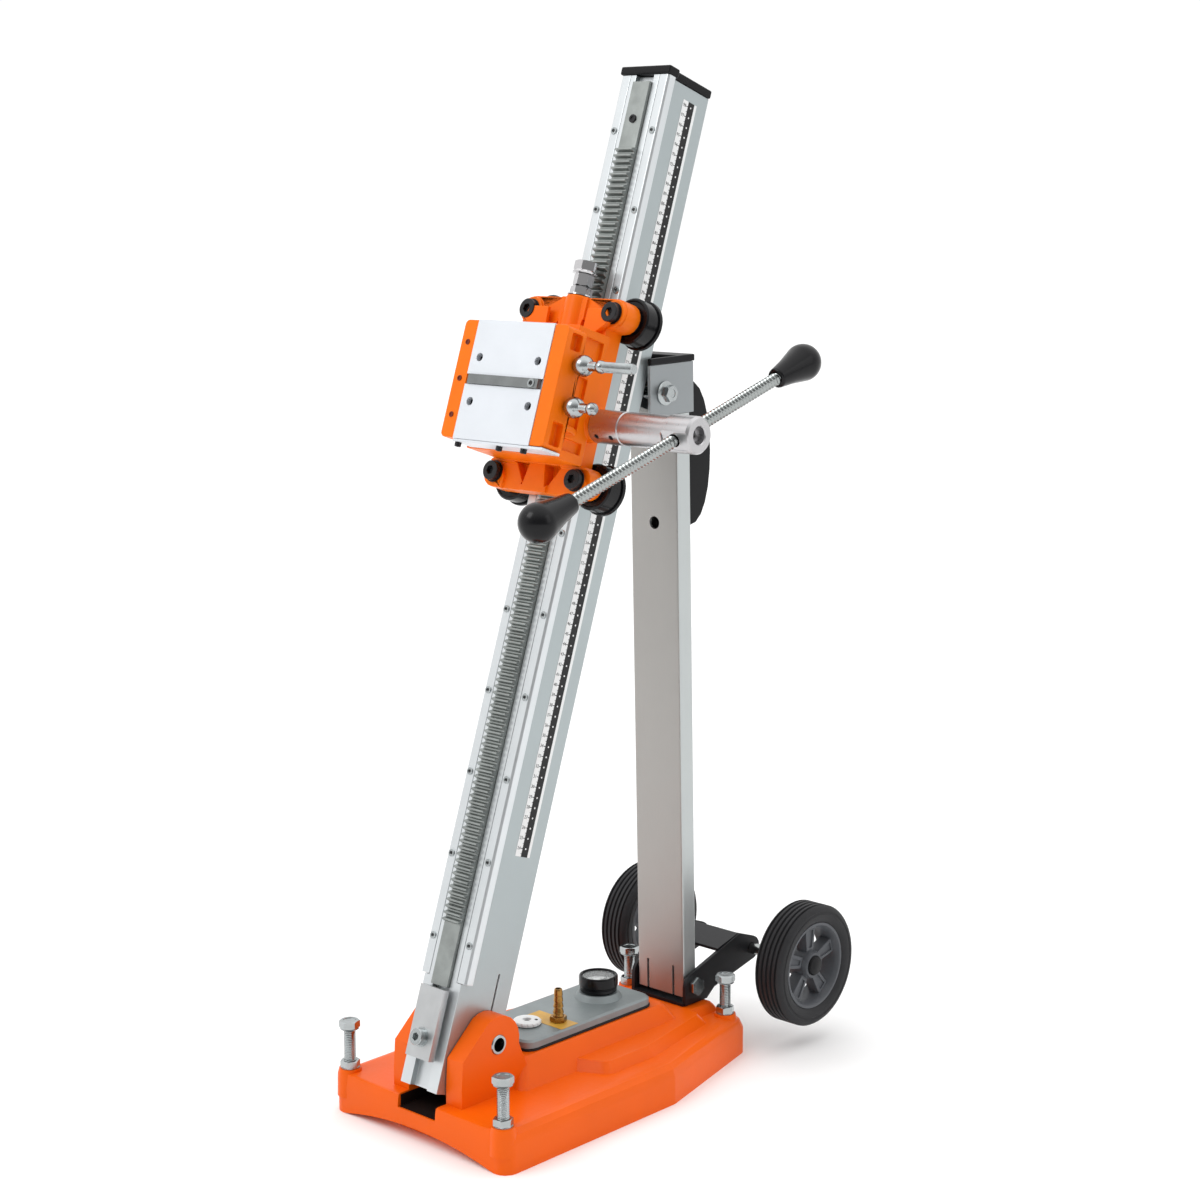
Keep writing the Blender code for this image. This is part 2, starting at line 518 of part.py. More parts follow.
def carriage_pieces(look, carriage):
    pinion_z = PINION_RISE - CARRIAGE_RISE
    bore = SHAFT_RADIUS + GAP + BUSH_WALL + GAP
    slot_back = CARRIAGE_FRONT + PLATE_THICK
    adds = [prism(capsule(ROLLER_X, ROLLER_RISE, ARM_RADIUS), "Y", ARM_FRONT, CARRIAGE_BACK),
            prism(capsule(ROLLER_X, -ROLLER_RISE, ARM_RADIUS), "Y", ARM_FRONT, CARRIAGE_BACK),
            box(-56, 56, -70.5, ARM_FRONT + 1, PLATE_LOW - 4, PLATE_HIGH + 7),
            prism(rectangle(-JAW_X, JAW_X, PLATE_LOW, PLATE_HIGH, 5), "Y", CARRIAGE_FRONT, -70)]
    cuts = [box(-12.5, 12.5, -10.5, 0, -110, 110),
            box(-13, 13, PINION_DEPTH - 18, 0, pinion_z - 19, pinion_z + 19),
            rod(bore, "X", -60, 60, (0, PINION_DEPTH, pinion_z)),
            box(-PLATE_X - GAP, PLATE_X + GAP, -110, slot_back + GAP, -80, 70),
            rod(5 + GAP, "Z", 60, 110, (0, STOP_BOLT_DEPTH, 0), SMALL)]
    for side in (-1, 1):
        for x_low, x_high, y_low, y_high, z_low, z_high in ((34, 60, -64, -33, 24, 50), (34, 60, -64, -33, -58, -47),
                                                            (40, 60, -64, -44, -38, 12)):
            edges = sorted((side * x_low, side * x_high))
            cuts.append(box(*edges, y_low, y_high, z_low, z_high))
        for rise in (-ROLLER_RISE, ROLLER_RISE):
            cuts.append(rod(ROLLER_BOLT + GAP, "Y", ARM_FRONT - 5, 5, (side * ROLLER_X, 0, rise), SMALL))
    for rise in CLAMP_RISES:
        cuts.append(rod(5 + GAP, "X", 54, 80, (0, CLAMP_DEPTH, rise), SMALL))
    backbone = rectangle(-50, 50, -ROLLER_RISE, ROLLER_RISE + 2, 4)
    node("carriage_casting", prism(backbone, "Y", ARM_FRONT + 0.5, CARRIAGE_BACK - 0.2), look["orange"], carriage,
         adds, cuts)

    keyway = (PLATE_LOW + PLATE_HIGH) / 2
    holes = [rod(4.2, "Y", CARRIAGE_FRONT - 5, 0, (x, 0, keyway + z), SMALL) for x in (-38.3, 38.3)
             for z in (-21.5, 21.5)]
    holes.append(box(-60, 60, CARRIAGE_FRONT - 2, CARRIAGE_FRONT + 3, keyway - 5, keyway + 5))
    node("motor_plate", box(-PLATE_X, PLATE_X, CARRIAGE_FRONT - 0.4, slot_back, PLATE_LOW - 0.5, PLATE_HIGH + 0.5),
         look["silver"], carriage, (), holes)
    node("plate_key", box(-46, 46, CARRIAGE_FRONT - 2.4, CARRIAGE_FRONT + 3 - GAP, keyway - 4.7, keyway + 4.7),
         look["steel"], carriage)

    for side, word in ((-1, "left"), (1, "right")):
        low, high = sorted((side * 14.0, side * 54.0))
        node("shaft_bush_" + word, tube(SHAFT_RADIUS + GAP, SHAFT_RADIUS + GAP + BUSH_WALL, "X", low, high,
                                        (0, PINION_DEPTH, pinion_z)), look["bronze"], carriage)
        for rise, level in ((ROLLER_RISE, "upper"), (-ROLLER_RISE, "lower")):
            at = (side * ROLLER_X, 0, rise)
            node("roller_bolt_%s_%s" % (level, word), rod(ROLLER_BOLT, "Y", ARM_FRONT - 2, 27, at, SMALL),
                 look["black_steel"], carriage, [hexagon(19, "Y", ARM_FRONT - 7, ARM_FRONT - GAP, at)])
            parent = frame("roller_frame_%s_%s" % (level, word), at, carriage)
            wheel = [(ROLLER_BOLT + GAP, -3.8), (ROLLER_RADIUS - 2, -3.8), (ROLLER_RADIUS, -1.8),
                     (ROLLER_RADIUS, RAIL_SIZE + 0.5), (ROLLER_RADIUS + 1.8, RAIL_SIZE + 0.5),
                     (ROLLER_RADIUS + 1.8, RAIL_SIZE + 4.5), (ROLLER_RADIUS - 1, RAIL_SIZE + 5.5),
                     (ROLLER_BOLT + GAP, RAIL_SIZE + 5.5)]
            node("guide_roller_%s_%s" % (level, word), turned(wheel, "Y", steps=FINE), look["black_plastic"], parent)

    stop = frame("stop_bolt_frame", (0, STOP_BOLT_DEPTH, 0), carriage)
    node("stop_bolt", rod(5, "Z", 72, 122, steps=SMALL), look["steel"], stop, [hexagon(17, "Z", 121, 132)])
    for word, rise, reach in (("upper", CLAMP_RISES[0], 140.0), ("lower", CLAMP_RISES[1], 107.0)):
        clamp = frame("clamp_frame_" + word, (0, CLAMP_DEPTH, rise), carriage)
        profile = [(0, 55), (5, 55), (5, JAW_X + 0.4), (10, JAW_X + 0.4), (12, JAW_X + 2.4), (12, JAW_X + 5.4),
                   (8.5, JAW_X + 9), (5.5, JAW_X + 10), (5.5, reach), (0, reach)]
        node("clamp_screw_" + word, turned(profile, "X"), look["zinc"], clamp, [hexagon(15, "X", 97, 105.5)])


def pinion_outline():
    """Involute teeth with a gap that faces the rack, as points round the shaft's axis."""
    pitch_radius, base = PINION_RADIUS, PINION_RADIUS * math.cos(PRESSURE_ANGLE)
    tip, root = PINION_RADIUS + 1.8, PINION_RADIUS - 2.5
    play = BACKLASH / 2 / pitch_radius

    def involute(radius):
        slope = math.acos(min(base / radius, 1.0))
        return math.tan(slope) - slope

    half_pitch = math.pi / (2 * PINION_TEETH) - play
    start = half_pitch + involute(pitch_radius)
    flank = [(root, start), (base, start)]
    for radius in (pitch_radius, (pitch_radius + tip) / 2, tip):
        flank.append((radius, start - involute(radius)))
    points = []
    for tooth in range(PINION_TEETH):
        middle = 2 * math.pi * (tooth + 0.5) / PINION_TEETH
        points += [(radius, middle - turn) for radius, turn in flank]
        points += [(radius, middle + turn) for radius, turn in reversed(flank)]
    return [(radius * math.cos(turn), radius * math.sin(turn)) for radius, turn in points]


def feed_pieces(look, feed, handle):
    profile = [(0, -58), (SHAFT_RADIUS - 1, -58), (SHAFT_RADIUS, -57), (SHAFT_RADIUS, 94), (0, 94)]
    node("pinion_shaft", turned(profile, "X"), look["steel"], feed, [prism(pinion_outline(), "X", -11, 11)])
    bore = SHAFT_RADIUS + GAP
    hub = [(bore, HUB_START), (HUB_RADIUS - 1, HUB_START), (HUB_RADIUS, HUB_START + 1), (HUB_RADIUS, 96),
           (HUB_RADIUS - 1, 97), (HUB_RADIUS - 1, 99), (HUB_RADIUS, 100), (HUB_RADIUS, 150), (HUB_RADIUS + 1.5, 154),
           (HUB_RADIUS + 1.5, HUB_END - 2), (HUB_RADIUS, HUB_END), (7, HUB_END), (7, HUB_END - 9),
           (0, HUB_END - 9)]
    hub_back = [(0, 95), (bore, 95)]
    node("handle_hub", turned(hub_back + hub, "X", steps=FINE), look["silver"], feed, (),
         [turn_with_handle(rod(ROD_RADIUS + GAP, "Y", -40, 40, (ROD_X, 0, 0), SMALL))])
    node("handle_rod", rod(ROD_RADIUS, "Y", -ROD_FRONT - 20, ROD_REAR + 20, (ROD_X, 0, 0), SMALL), look["steel"], handle)
    for word, side, start in (("front", -1, ROD_FRONT), ("rear", 1, ROD_REAR)):
        bulb = arc((KNOB_LENGTH - KNOB_RADIUS + 3, 0), KNOB_RADIUS, 112, 0, 7)
        profile = [(ROD_RADIUS + GAP, 22), (ROD_RADIUS + GAP, 0), (8.5, 0), (10, 1)]
        profile += [(radius, along - 3) for along, radius in bulb[:-1]]
        profile.append((0, KNOB_LENGTH - 1))
        profile = [(0, 22)] + profile
        profile = [(radius, side * (start + along)) for radius, along in profile]
        node("handle_knob_" + word, turned(profile, "Y", (ROD_X, 0, 0)), look["black_plastic"], handle)


def turn_with_handle(shape):
    turn = Matrix.Rotation(math.radians(TILT_DEG + HANDLE_DEG), 3, "X")
    bmesh.ops.rotate(shape, verts=shape.verts, matrix=turn)
    return shape


# Strut

def strut_pieces(look, strut):
    half, deep = STRUT_WIDTH / 2, STRUT_DEPTH / 2
    cuts = [box(-half + STRUT_WALL, half - STRUT_WALL, -deep + STRUT_WALL, deep - STRUT_WALL, -30, STRUT_TOP + 10),
            rod(PIN_SCREW + GAP, "X", -40, 40, steps=SMALL),
            rod(6.5, "Y", -deep - 5, 0, (0, 0, 488), ROUND)]
    cuts += [box(x - 1.4, x + 1.4, -deep - 5, deep + 5, -20, 20) for x in (-17.5, 17.5)]
    node("strut_tube", prism(rounded([(-half, -deep), (half, -deep), (half, deep), (-half, deep)], 2.2, 2), "Z",
                             STRUT_LOW, STRUT_TOP), look["silver"], strut, (), cuts)
    inner = half - HEAD_PLATE
    fork = [(-inner, HEAD_FRONT), (-inner, HEAD_WEB), (inner, HEAD_WEB), (inner, HEAD_FRONT)]
    head = [(-half, HEAD_FRONT)] + fork + [(half, HEAD_FRONT), (half, HEAD_BACK), (-half, HEAD_BACK)]
    plug = box(-half + STRUT_WALL + GAP, half - STRUT_WALL - GAP, -deep + STRUT_WALL + GAP,
               deep - STRUT_WALL - GAP, STRUT_TOP - 40, STRUT_TOP + 3)
    pin = (0, HEAD_PIN_Y, HEAD_PIN_Z)
    node("strut_head", prism(head, "Z", STRUT_TOP + GAP, HEAD_TOP), look["silver"], strut, [plug],
         [rod(HEAD_PIN_RADIUS + GAP, "X", -40, 40, pin, SMALL)])
    cap = [(-half - 1, HEAD_FRONT)] + fork + [(half + 1, HEAD_FRONT), (half + 1, HEAD_BACK + 1.5),
                                              (-half - 1, HEAD_BACK + 1.5)]
    node("strut_cap", prism(cap, "Z", HEAD_TOP + GAP, HEAD_TOP + 7), look["black_plastic"], strut)
    node("head_bolt", turned([(0, -half - 6), (HEAD_PIN_RADIUS, -half - 6), (HEAD_PIN_RADIUS, half + GAP),
                              (12, half + GAP), (12, half + 3), (8, half + 4.5), (0, half + 4.5)], "X", pin),
         look["zinc"], strut, [hexagon(15, "X", half + 4, half + 10, pin)])
    pad = [(0, -74)] + [(36.5 * math.cos(math.radians(a)) ** 0.8, 74 * math.sin(math.radians(a)))
                        for a in range(-75, 76, 15)] + [(0, 74)]
    pad = [(deep + GAP + y, 558 + z) for y, z in pad]
    node("back_grip", prism(pad, "X", -27, 27), look["black_plastic"], strut, (),
         [box(-30, 30, 0, HEAD_BACK + GAP, STRUT_TOP, HEAD_TOP)])


def build():
    clear_scene()
    look = looks()
    base_pieces(look)
    vacuum_pieces(look)
    levelling_screws(look)
    wheel_pieces(look)
    column = frame("column_frame", (0, 0, PIVOT_Z), None, -TILT_DEG)
    column_pieces(look, column)
    lug_pieces(look, frame("lug_frame", (0, LUG_DEPTH - PIVOT_DEPTH, LUG_RISE - PIVOT_RISE), column))
    carriage = frame("carriage_frame", (0, -PIVOT_DEPTH, CARRIAGE_RISE - PIVOT_RISE), column)
    carriage_pieces(look, carriage)
    feed = frame("feed_frame", (0, PINION_DEPTH, PINION_RISE - CARRIAGE_RISE), carriage)
    feed_pieces(look, feed, frame("handle_frame", (0, 0, 0), feed, TILT_DEG + HANDLE_DEG))
    strut_pieces(look, frame("strut_frame", (0, STRUT_Y, STRUT_Z), None, STRUT_LEAN_DEG))


build()
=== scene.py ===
"""The looks of a core drill rig: vacuum base, tilting toothed column, carriage, strut and two wheels.

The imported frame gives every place. Pieces are modelled in millimetres, each in the frame of the body it
belongs to, and are settled into the row's frame in metres when they are finished.
"""
import json
import math

import bpy
from mathutils import Matrix, Vector


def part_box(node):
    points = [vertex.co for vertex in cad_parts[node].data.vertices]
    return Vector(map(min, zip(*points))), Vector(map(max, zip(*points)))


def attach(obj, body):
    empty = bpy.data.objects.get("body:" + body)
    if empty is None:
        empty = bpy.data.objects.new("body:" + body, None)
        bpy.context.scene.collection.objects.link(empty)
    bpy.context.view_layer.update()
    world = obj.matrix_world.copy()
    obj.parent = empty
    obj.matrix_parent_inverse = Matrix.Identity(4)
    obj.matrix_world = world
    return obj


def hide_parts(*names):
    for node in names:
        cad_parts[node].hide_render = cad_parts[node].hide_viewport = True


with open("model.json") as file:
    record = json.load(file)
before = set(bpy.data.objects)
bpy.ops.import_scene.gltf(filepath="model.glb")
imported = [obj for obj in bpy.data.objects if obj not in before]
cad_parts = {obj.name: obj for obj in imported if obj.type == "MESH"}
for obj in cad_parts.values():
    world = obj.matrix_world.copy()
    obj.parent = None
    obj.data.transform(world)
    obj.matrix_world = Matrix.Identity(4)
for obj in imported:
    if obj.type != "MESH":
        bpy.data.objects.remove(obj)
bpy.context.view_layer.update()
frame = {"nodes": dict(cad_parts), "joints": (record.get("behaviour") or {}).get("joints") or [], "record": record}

MM = 0.001
JOINTS = {joint["name"]: joint for joint in frame["joints"]}
RAIL_AXIS = Vector(JOINTS["carriage_feed"]["axis"])
TILT = math.atan2(RAIL_AXIS.y, RAIL_AXIS.z)
STRUT_LEAN = math.radians(1.56)
HANDLE_TURN = math.radians(17.8)
PIVOT_DEPTH, PIVOT_RISE = 45.4, 55.2   # the pivot, behind the column's front face and above its foot
CARRIAGE_RISE = 670                    # the middle of the carriage, above the column's foot


def place_at(point, turn_x):
    """A millimetre frame that stands at a point of the row, turned about X."""
    return Matrix.Translation(Vector(point)) @ Matrix.Rotation(turn_x, 4, "X") @ Matrix.Scale(MM, 4)


WORLD = Matrix.Scale(MM, 4)
PIVOT = place_at(JOINTS["column_tilt"]["pos_m"], -TILT)
COLUMN = PIVOT @ Matrix.Translation((0, -PIVOT_DEPTH, -PIVOT_RISE))   # x, depth, height up the column
CARRIAGE = COLUMN @ Matrix.Translation((0, 0, CARRIAGE_RISE))
HANDLE = place_at(JOINTS["feed_turn"]["pos_m"], HANDLE_TURN)          # x along the shaft, y along the rod
STRUT = place_at(JOINTS["strut_fold"]["pos_m"], STRUT_LEAN)

TO_AXIS = {"X": Matrix.Rotation(math.pi / 2, 4, "Y"), "Y": Matrix.Rotation(-math.pi / 2, 4, "X"),
           "Z": Matrix.Identity(4)}


# The camera and the studio

def set_camera():
    data = bpy.data.cameras.new("camera")
    data.sensor_width = 36
    data.lens = 68.616
    data.clip_end = 50
    camera = bpy.data.objects.new("camera", data)
    camera.location = (1.51525, -1.44785, 0.88714)
    camera.rotation_euler = (math.radians(90 - 10.12), 0, math.radians(42.73))
    bpy.context.scene.collection.objects.link(camera)
    bpy.context.scene.camera = camera


def area_light(name, place, target, size, power):
    data = bpy.data.lights.new(name, "AREA")
    data.shape = "RECTANGLE"
    data.size, data.size_y = size
    data.energy = power
    light = bpy.data.objects.new(name, data)
    light.location = place
    light.rotation_euler = (Vector(target) - Vector(place)).to_track_quat("-Z", "Y").to_euler()
    bpy.context.scene.collection.objects.link(light)


def ranged(nodes, links, source, before, after, smooth=False):
    """A value taken from one range to another, which may run downwards."""
    step = nodes.new("ShaderNodeMapRange")
    if smooth:
        step.interpolation_type = "SMOOTHSTEP"
    for end, value in zip(("From Min", "From Max", "To Min", "To Max"), (*before, *after)):
        step.inputs[end].default_value = value
    links.new(source, step.inputs["Value"])
    return step.outputs["Result"]


def set_world():
    """Bright all round and above, and dimmer behind the viewer, so that metal has something dark to show."""
    world = bpy.data.worlds.new("studio")
    world.use_nodes = True
    nodes, links = world.node_tree.nodes, world.node_tree.links
    where = nodes.new("ShaderNodeTexCoord")
    facing = nodes.new("ShaderNodeVectorMath")
    facing.operation = "DOT_PRODUCT"
    facing.inputs[1].default_value = (0.72, -0.69, 0.0)
    links.new(where.outputs["Generated"], facing.inputs[0])
    parts = nodes.new("ShaderNodeSeparateXYZ")
    links.new(where.outputs["Generated"], parts.inputs["Vector"])
    total = nodes.new("ShaderNodeMath")
    links.new(ranged(nodes, links, facing.outputs["Value"], (0.1, 0.95), (1.03, 0.3), True), total.inputs[0])
    links.new(ranged(nodes, links, parts.outputs["Z"], (0.35, 0.85), (0, 0.5), True), total.inputs[1])
    sky = nodes["Background"]
    sky.inputs["Color"].default_value = (1, 1, 1, 1)
    links.new(total.outputs["Value"], sky.inputs["Strength"])
    bpy.context.scene.world = world


def set_studio():
    set_world()
    bpy.context.scene.view_settings.view_transform = "Standard"
    area_light("key_light", (-0.6, -1.8, 2.4), (0, 0.1, 0.4), (1.2, 1.2), 16)
    area_light("side_light", (2.4, 0.6, 1.6), (0, 0.1, 0.4), (1.0, 1.6), 4)

    deselect()
    bpy.ops.mesh.primitive_plane_add(size=30)
    floor = bpy.context.object
    floor.name = "floor"
    floor.data.materials.append(finish("floor_white", (0.97, 0.97, 0.968), 0.9, mottle=0.005, specular=0.1))


# Finishes: every one is worked out from the object's own coordinates

def finish(name, colour, roughness, metallic=0.0, mottle=0.06, mottle_scale=30.0, grain=0.0,
           grain_scale=900.0, stretch=(1, 1, 1), turn=(0, 0, 0), spread=0.08, coat=0.0, specular=0.5,
           painted_side_light=None):
    """A finish with a slow change of colour and a fine grain, which stretch makes into brush marks.

    The last argument is the colour of the faces that look to the left or right: painted light and shade, darker or
    lighter than the front faces as the light falls on them.
    """
    made = bpy.data.materials.new(name)
    made.use_nodes = True
    nodes, links = made.node_tree.nodes, made.node_tree.links
    shader = nodes["Principled BSDF"]
    shader.inputs["Metallic"].default_value = metallic
    shader.inputs["Coat Weight"].default_value = coat
    shader.inputs["Coat Roughness"].default_value = 0.12
    shader.inputs["Specular IOR Level"].default_value = specular
    where = nodes.new("ShaderNodeTexCoord")

    cloud = nodes.new("ShaderNodeTexNoise")
    cloud.inputs["Scale"].default_value = mottle_scale
    cloud.inputs["Detail"].default_value = 4
    links.new(where.outputs["Object"], cloud.inputs["Vector"])
    tint = shaded(nodes, links, cloud.outputs["Fac"], colour, mottle)
    # Faces that look to the left or right take the side colour: painted light and shade.
    if painted_side_light:
        parts = nodes.new("ShaderNodeSeparateXYZ")
        links.new(where.outputs["Normal"], parts.inputs["Vector"])
        sideways = nodes.new("ShaderNodeMath")
        sideways.operation = "ABSOLUTE"
        links.new(parts.outputs["X"], sideways.inputs[0])
        share = ranged(nodes, links, sideways.outputs["Value"], (0.55, 0.9), (0, 1))
        both = nodes.new("ShaderNodeMix")
        both.data_type = "RGBA"
        links.new(share, both.inputs["Factor"])
        links.new(tint, both.inputs["A"])
        links.new(shaded(nodes, links, cloud.outputs["Fac"], painted_side_light, mottle), both.inputs["B"])
        tint = both.outputs["Result"]
    links.new(tint, shader.inputs["Base Color"])

    lay = nodes.new("ShaderNodeMapping")
    lay.inputs["Rotation"].default_value = turn
    lay.inputs["Scale"].default_value = stretch
    links.new(where.outputs["Object"], lay.inputs["Vector"])
    fine = nodes.new("ShaderNodeTexNoise")
    fine.inputs["Scale"].default_value = grain_scale
    fine.inputs["Detail"].default_value = 3
    links.new(lay.outputs["Vector"], fine.inputs["Vector"])
    smoothest, roughest = max(0.02, roughness - spread), min(1.0, roughness + spread)
    sheen = ranged(nodes, links, fine.outputs["Fac"], (0, 1), (smoothest, roughest))
    links.new(sheen, shader.inputs["Roughness"])
    if grain:
        bump = nodes.new("ShaderNodeBump")
        bump.inputs["Strength"].default_value = grain
        bump.inputs["Distance"].default_value = 0.0003
        links.new(fine.outputs["Fac"], bump.inputs["Height"])
        links.new(bump.outputs["Normal"], shader.inputs["Normal"])
    return made


def shaded(nodes, links, source, colour, mottle):
    """A colour that goes a little darker and lighter with a noise."""
    shades = nodes.new("ShaderNodeValToRGB")
    shades.color_ramp.elements[0].position = 0.3
    shades.color_ramp.elements[1].position = 0.7
    shades.color_ramp.elements[0].color = (*[value * (1 - mottle) for value in colour], 1)
    shades.color_ramp.elements[1].color = (*[min(1.0, value * (1 + mottle)) for value in colour], 1)
    links.new(source, shades.inputs["Fac"])
    return shades.outputs["Color"]


def finishes():
    brushed = (1, 1, 0.02)
    column_turn = (TILT, 0, 0)
    return {
        "enamel": finish("orange_enamel", (0.84, 0.115, 0.001), 0.34, mottle=0.035, mottle_scale=14,
                         grain=0.2, grain_scale=260, coat=0.03, specular=0.16),
        "casting_enamel": finish("orange_casting_enamel", (0.88, 0.165, 0.001), 0.36, mottle=0.05,
                                 mottle_scale=22, grain=0.4, grain_scale=420, coat=0.03, specular=0.16),
        # The side colours of the column, the strut and its head are painted light and shade.
        "column": finish("column_anodised", (0.66, 0.69, 0.705), 0.36, 0.75, mottle=0.03, mottle_scale=9,
                         grain=0.12, grain_scale=1600, stretch=brushed, turn=column_turn,
                         painted_side_light=(0.4, 0.445, 0.455)),
        "rail": finish("rail_ground", (0.66, 0.69, 0.705), 0.3, 0.85, mottle=0.02, spread=0.04,
                       grain_scale=1400, stretch=brushed, turn=column_turn),
        "strut": finish("strut_anodised", (0.37, 0.36, 0.345), 0.42, 0.75, mottle=0.03, mottle_scale=8,
                        grain=0.16, grain_scale=1500, stretch=brushed, painted_side_light=(0.5, 0.53, 0.53)),
        "head": finish("head_anodised", (0.5, 0.52, 0.53), 0.34, 0.75, mottle=0.03, mottle_scale=12,
                       grain=0.12, grain_scale=1500, stretch=brushed, painted_side_light=(0.29, 0.31, 0.32)),
        "plate": finish("plate_milled", (0.71, 0.74, 0.78), 0.4, 0.35, mottle=0.02, grain=0.12,
                        grain_scale=1200, stretch=(0.03, 1, 1)),
        "rack": finish("rack_steel", (0.3, 0.32, 0.31), 0.38, 0.9, mottle=0.14, mottle_scale=60, grain=0.2),
        "steel": finish("turned_steel", (0.34, 0.36, 0.355), 0.2, 1.0, mottle=0.05, grain=0.12,
                        grain_scale=1300, stretch=(1, 0.2, 0.2)),
        "steel_plate": finish("ground_plate", (0.5, 0.51, 0.515), 0.33, 0.9, mottle=0.08, mottle_scale=40,
                              grain=0.15, grain_scale=1300, stretch=(1, 1, 0.1)),
        "ground": finish("ground_bar", (0.2, 0.21, 0.21), 0.42, 0.9, mottle=0.12, mottle_scale=70,
                         grain=0.25, grain_scale=1500, stretch=(1, 1, 0.1)),
        "zinc": finish("bright_zinc", (0.4, 0.425, 0.43), 0.2, 1.0, mottle=0.08, mottle_scale=90,
                       grain=0.15, grain_scale=1500),
        "chrome": finish("bolt_chrome", (0.6, 0.59, 0.6), 0.09, 1.0, mottle=0.02, spread=0.04),
        "hub": finish("hub_aluminium", (0.5, 0.495, 0.505), 0.3, 0.95, mottle=0.03, grain=0.12,
                      grain_scale=1600, stretch=(1, 0.05, 0.05)),
        "brass": finish("barb_brass", (0.36, 0.19, 0.05), 0.28, 1.0, mottle=0.08, grain=0.1),
        "bronze": finish("bush_bronze", (0.4, 0.24, 0.1), 0.42, 0.9, mottle=0.1),
        "grey_cast": finish("grey_casting", (0.24, 0.27, 0.275), 0.46, 0.35, mottle=0.07, mottle_scale=50,
                            grain=0.35, grain_scale=700),
        "plastic": finish("black_plastic", (0.006, 0.006, 0.007), 0.42, mottle=0.1, grain=0.3,
                          grain_scale=1100, specular=0.16),
        "gloss": finish("knob_gloss", (0.005, 0.005, 0.006), 0.2, mottle=0.05, grain=0.05, grain_scale=300,
                        coat=0.02, specular=0.22),
        "black_steel": finish("black_powder_coat", (0.012, 0.012, 0.014), 0.36, mottle=0.08, grain=0.35,
                              grain_scale=1400, specular=0.22),
        "oxide": finish("black_oxide", (0.016, 0.016, 0.018), 0.34, 0.5, mottle=0.15, mottle_scale=120,
                        grain=0.15),
        "grub": finish("grub_screw", (0.16, 0.02, 0.006), 0.45, 0.4, mottle=0.15, mottle_scale=120,
                       grain=0.1),
        "rubber": finish("seal_rubber", (0.02, 0.02, 0.02), 0.75, mottle=0.1, grain=0.3, specular=0.25),
        "tyre": finish("tyre_rubber", (0.018, 0.018, 0.02), 0.6, mottle=0.12, mottle_scale=60, grain=0.4,
                       grain_scale=1300, specular=0.3),
        "rim": finish("rim_grey", (0.085, 0.09, 0.1), 0.5, mottle=0.06, grain=0.3, grain_scale=1300,
                      specular=0.35),
        "white": finish("printed_white", (0.8, 0.81, 0.81), 0.5, mottle=0.01),
        "ink": finish("printed_black", (0.008, 0.008, 0.009), 0.4, mottle=0.04, specular=0.3),
        "sticker": finish("label_yellow", (0.6, 0.33, 0.04), 0.45, mottle=0.08, mottle_scale=80),
        # painted shade: the dark of the foot's pocket, which lies in the foot's shadow
        "deep": finish("shadowed_recess", (0.012, 0.006, 0.005), 0.8, mottle=0.2, mottle_scale=60,
                       specular=0.1),
    }


def glass():
    made = bpy.data.materials.new("gauge_glass")
    made.use_nodes = True
    shader = made.node_tree.nodes["Principled BSDF"]
    shader.inputs["Base Color"].default_value = (0.95, 0.98, 0.98, 1)
    shader.inputs["Roughness"].default_value = 0.03
    shader.inputs["Alpha"].default_value = 0.16
    shader.inputs["IOR"].default_value = 1.5
    return made


# Modelling

def deselect():
    bpy.ops.object.select_all(action="DESELECT")


def select(piece):
    deselect()
    piece.select_set(True)
    bpy.context.view_layer.objects.active = piece


def enter(piece):
    """Edit mode, with the whole mesh selected."""
    select(piece)
    bpy.ops.object.mode_set(mode="EDIT")
    bpy.ops.mesh.select_all(action="SELECT")


def leave():
    bpy.ops.object.mode_set(mode="OBJECT")


def named(name):
    piece = bpy.context.object
    piece.name = piece.data.name = name
    return piece


def apply(piece, step):
    select(piece)
    bpy.ops.object.modifier_apply(modifier=step.name)


def soften(piece, width, segments=2, angle=30, clamp=True):
    """Rounds the sharp edges. With the clamp, the shortest edge limits the rounding of them all."""
    step = piece.modifiers.new("edges", "BEVEL")
    step.width = width
    step.segments = segments
    step.limit_method = "ANGLE"
    step.angle_limit = math.radians(angle)
    step.miter_outer = "MITER_ARC"
    step.use_clamp_overlap = clamp
    apply(piece, step)
    return piece


def tidied(piece, near, flat=1):
    """Merges the crumbs that cuts leave, and the faces that lie in one plane."""
    enter(piece)
    bpy.ops.mesh.remove_doubles(threshold=near)
    bpy.ops.mesh.dissolve_limited(angle_limit=math.radians(flat))
    leave()
    return piece


def block(name, low, high, edge=0.5, segments=2):
    """A block between two corners with rounded edges."""
    deselect()
    middle = [(a + b) / 2 for a, b in zip(low, high)]
    bpy.ops.mesh.primitive_cube_add(size=1, location=middle)
    piece = named(name)
    piece.scale = [b - a for a, b in zip(low, high)]
    bpy.ops.object.transform_apply(location=True, rotation=True, scale=True)
    return soften(piece, edge, segments) if edge else piece


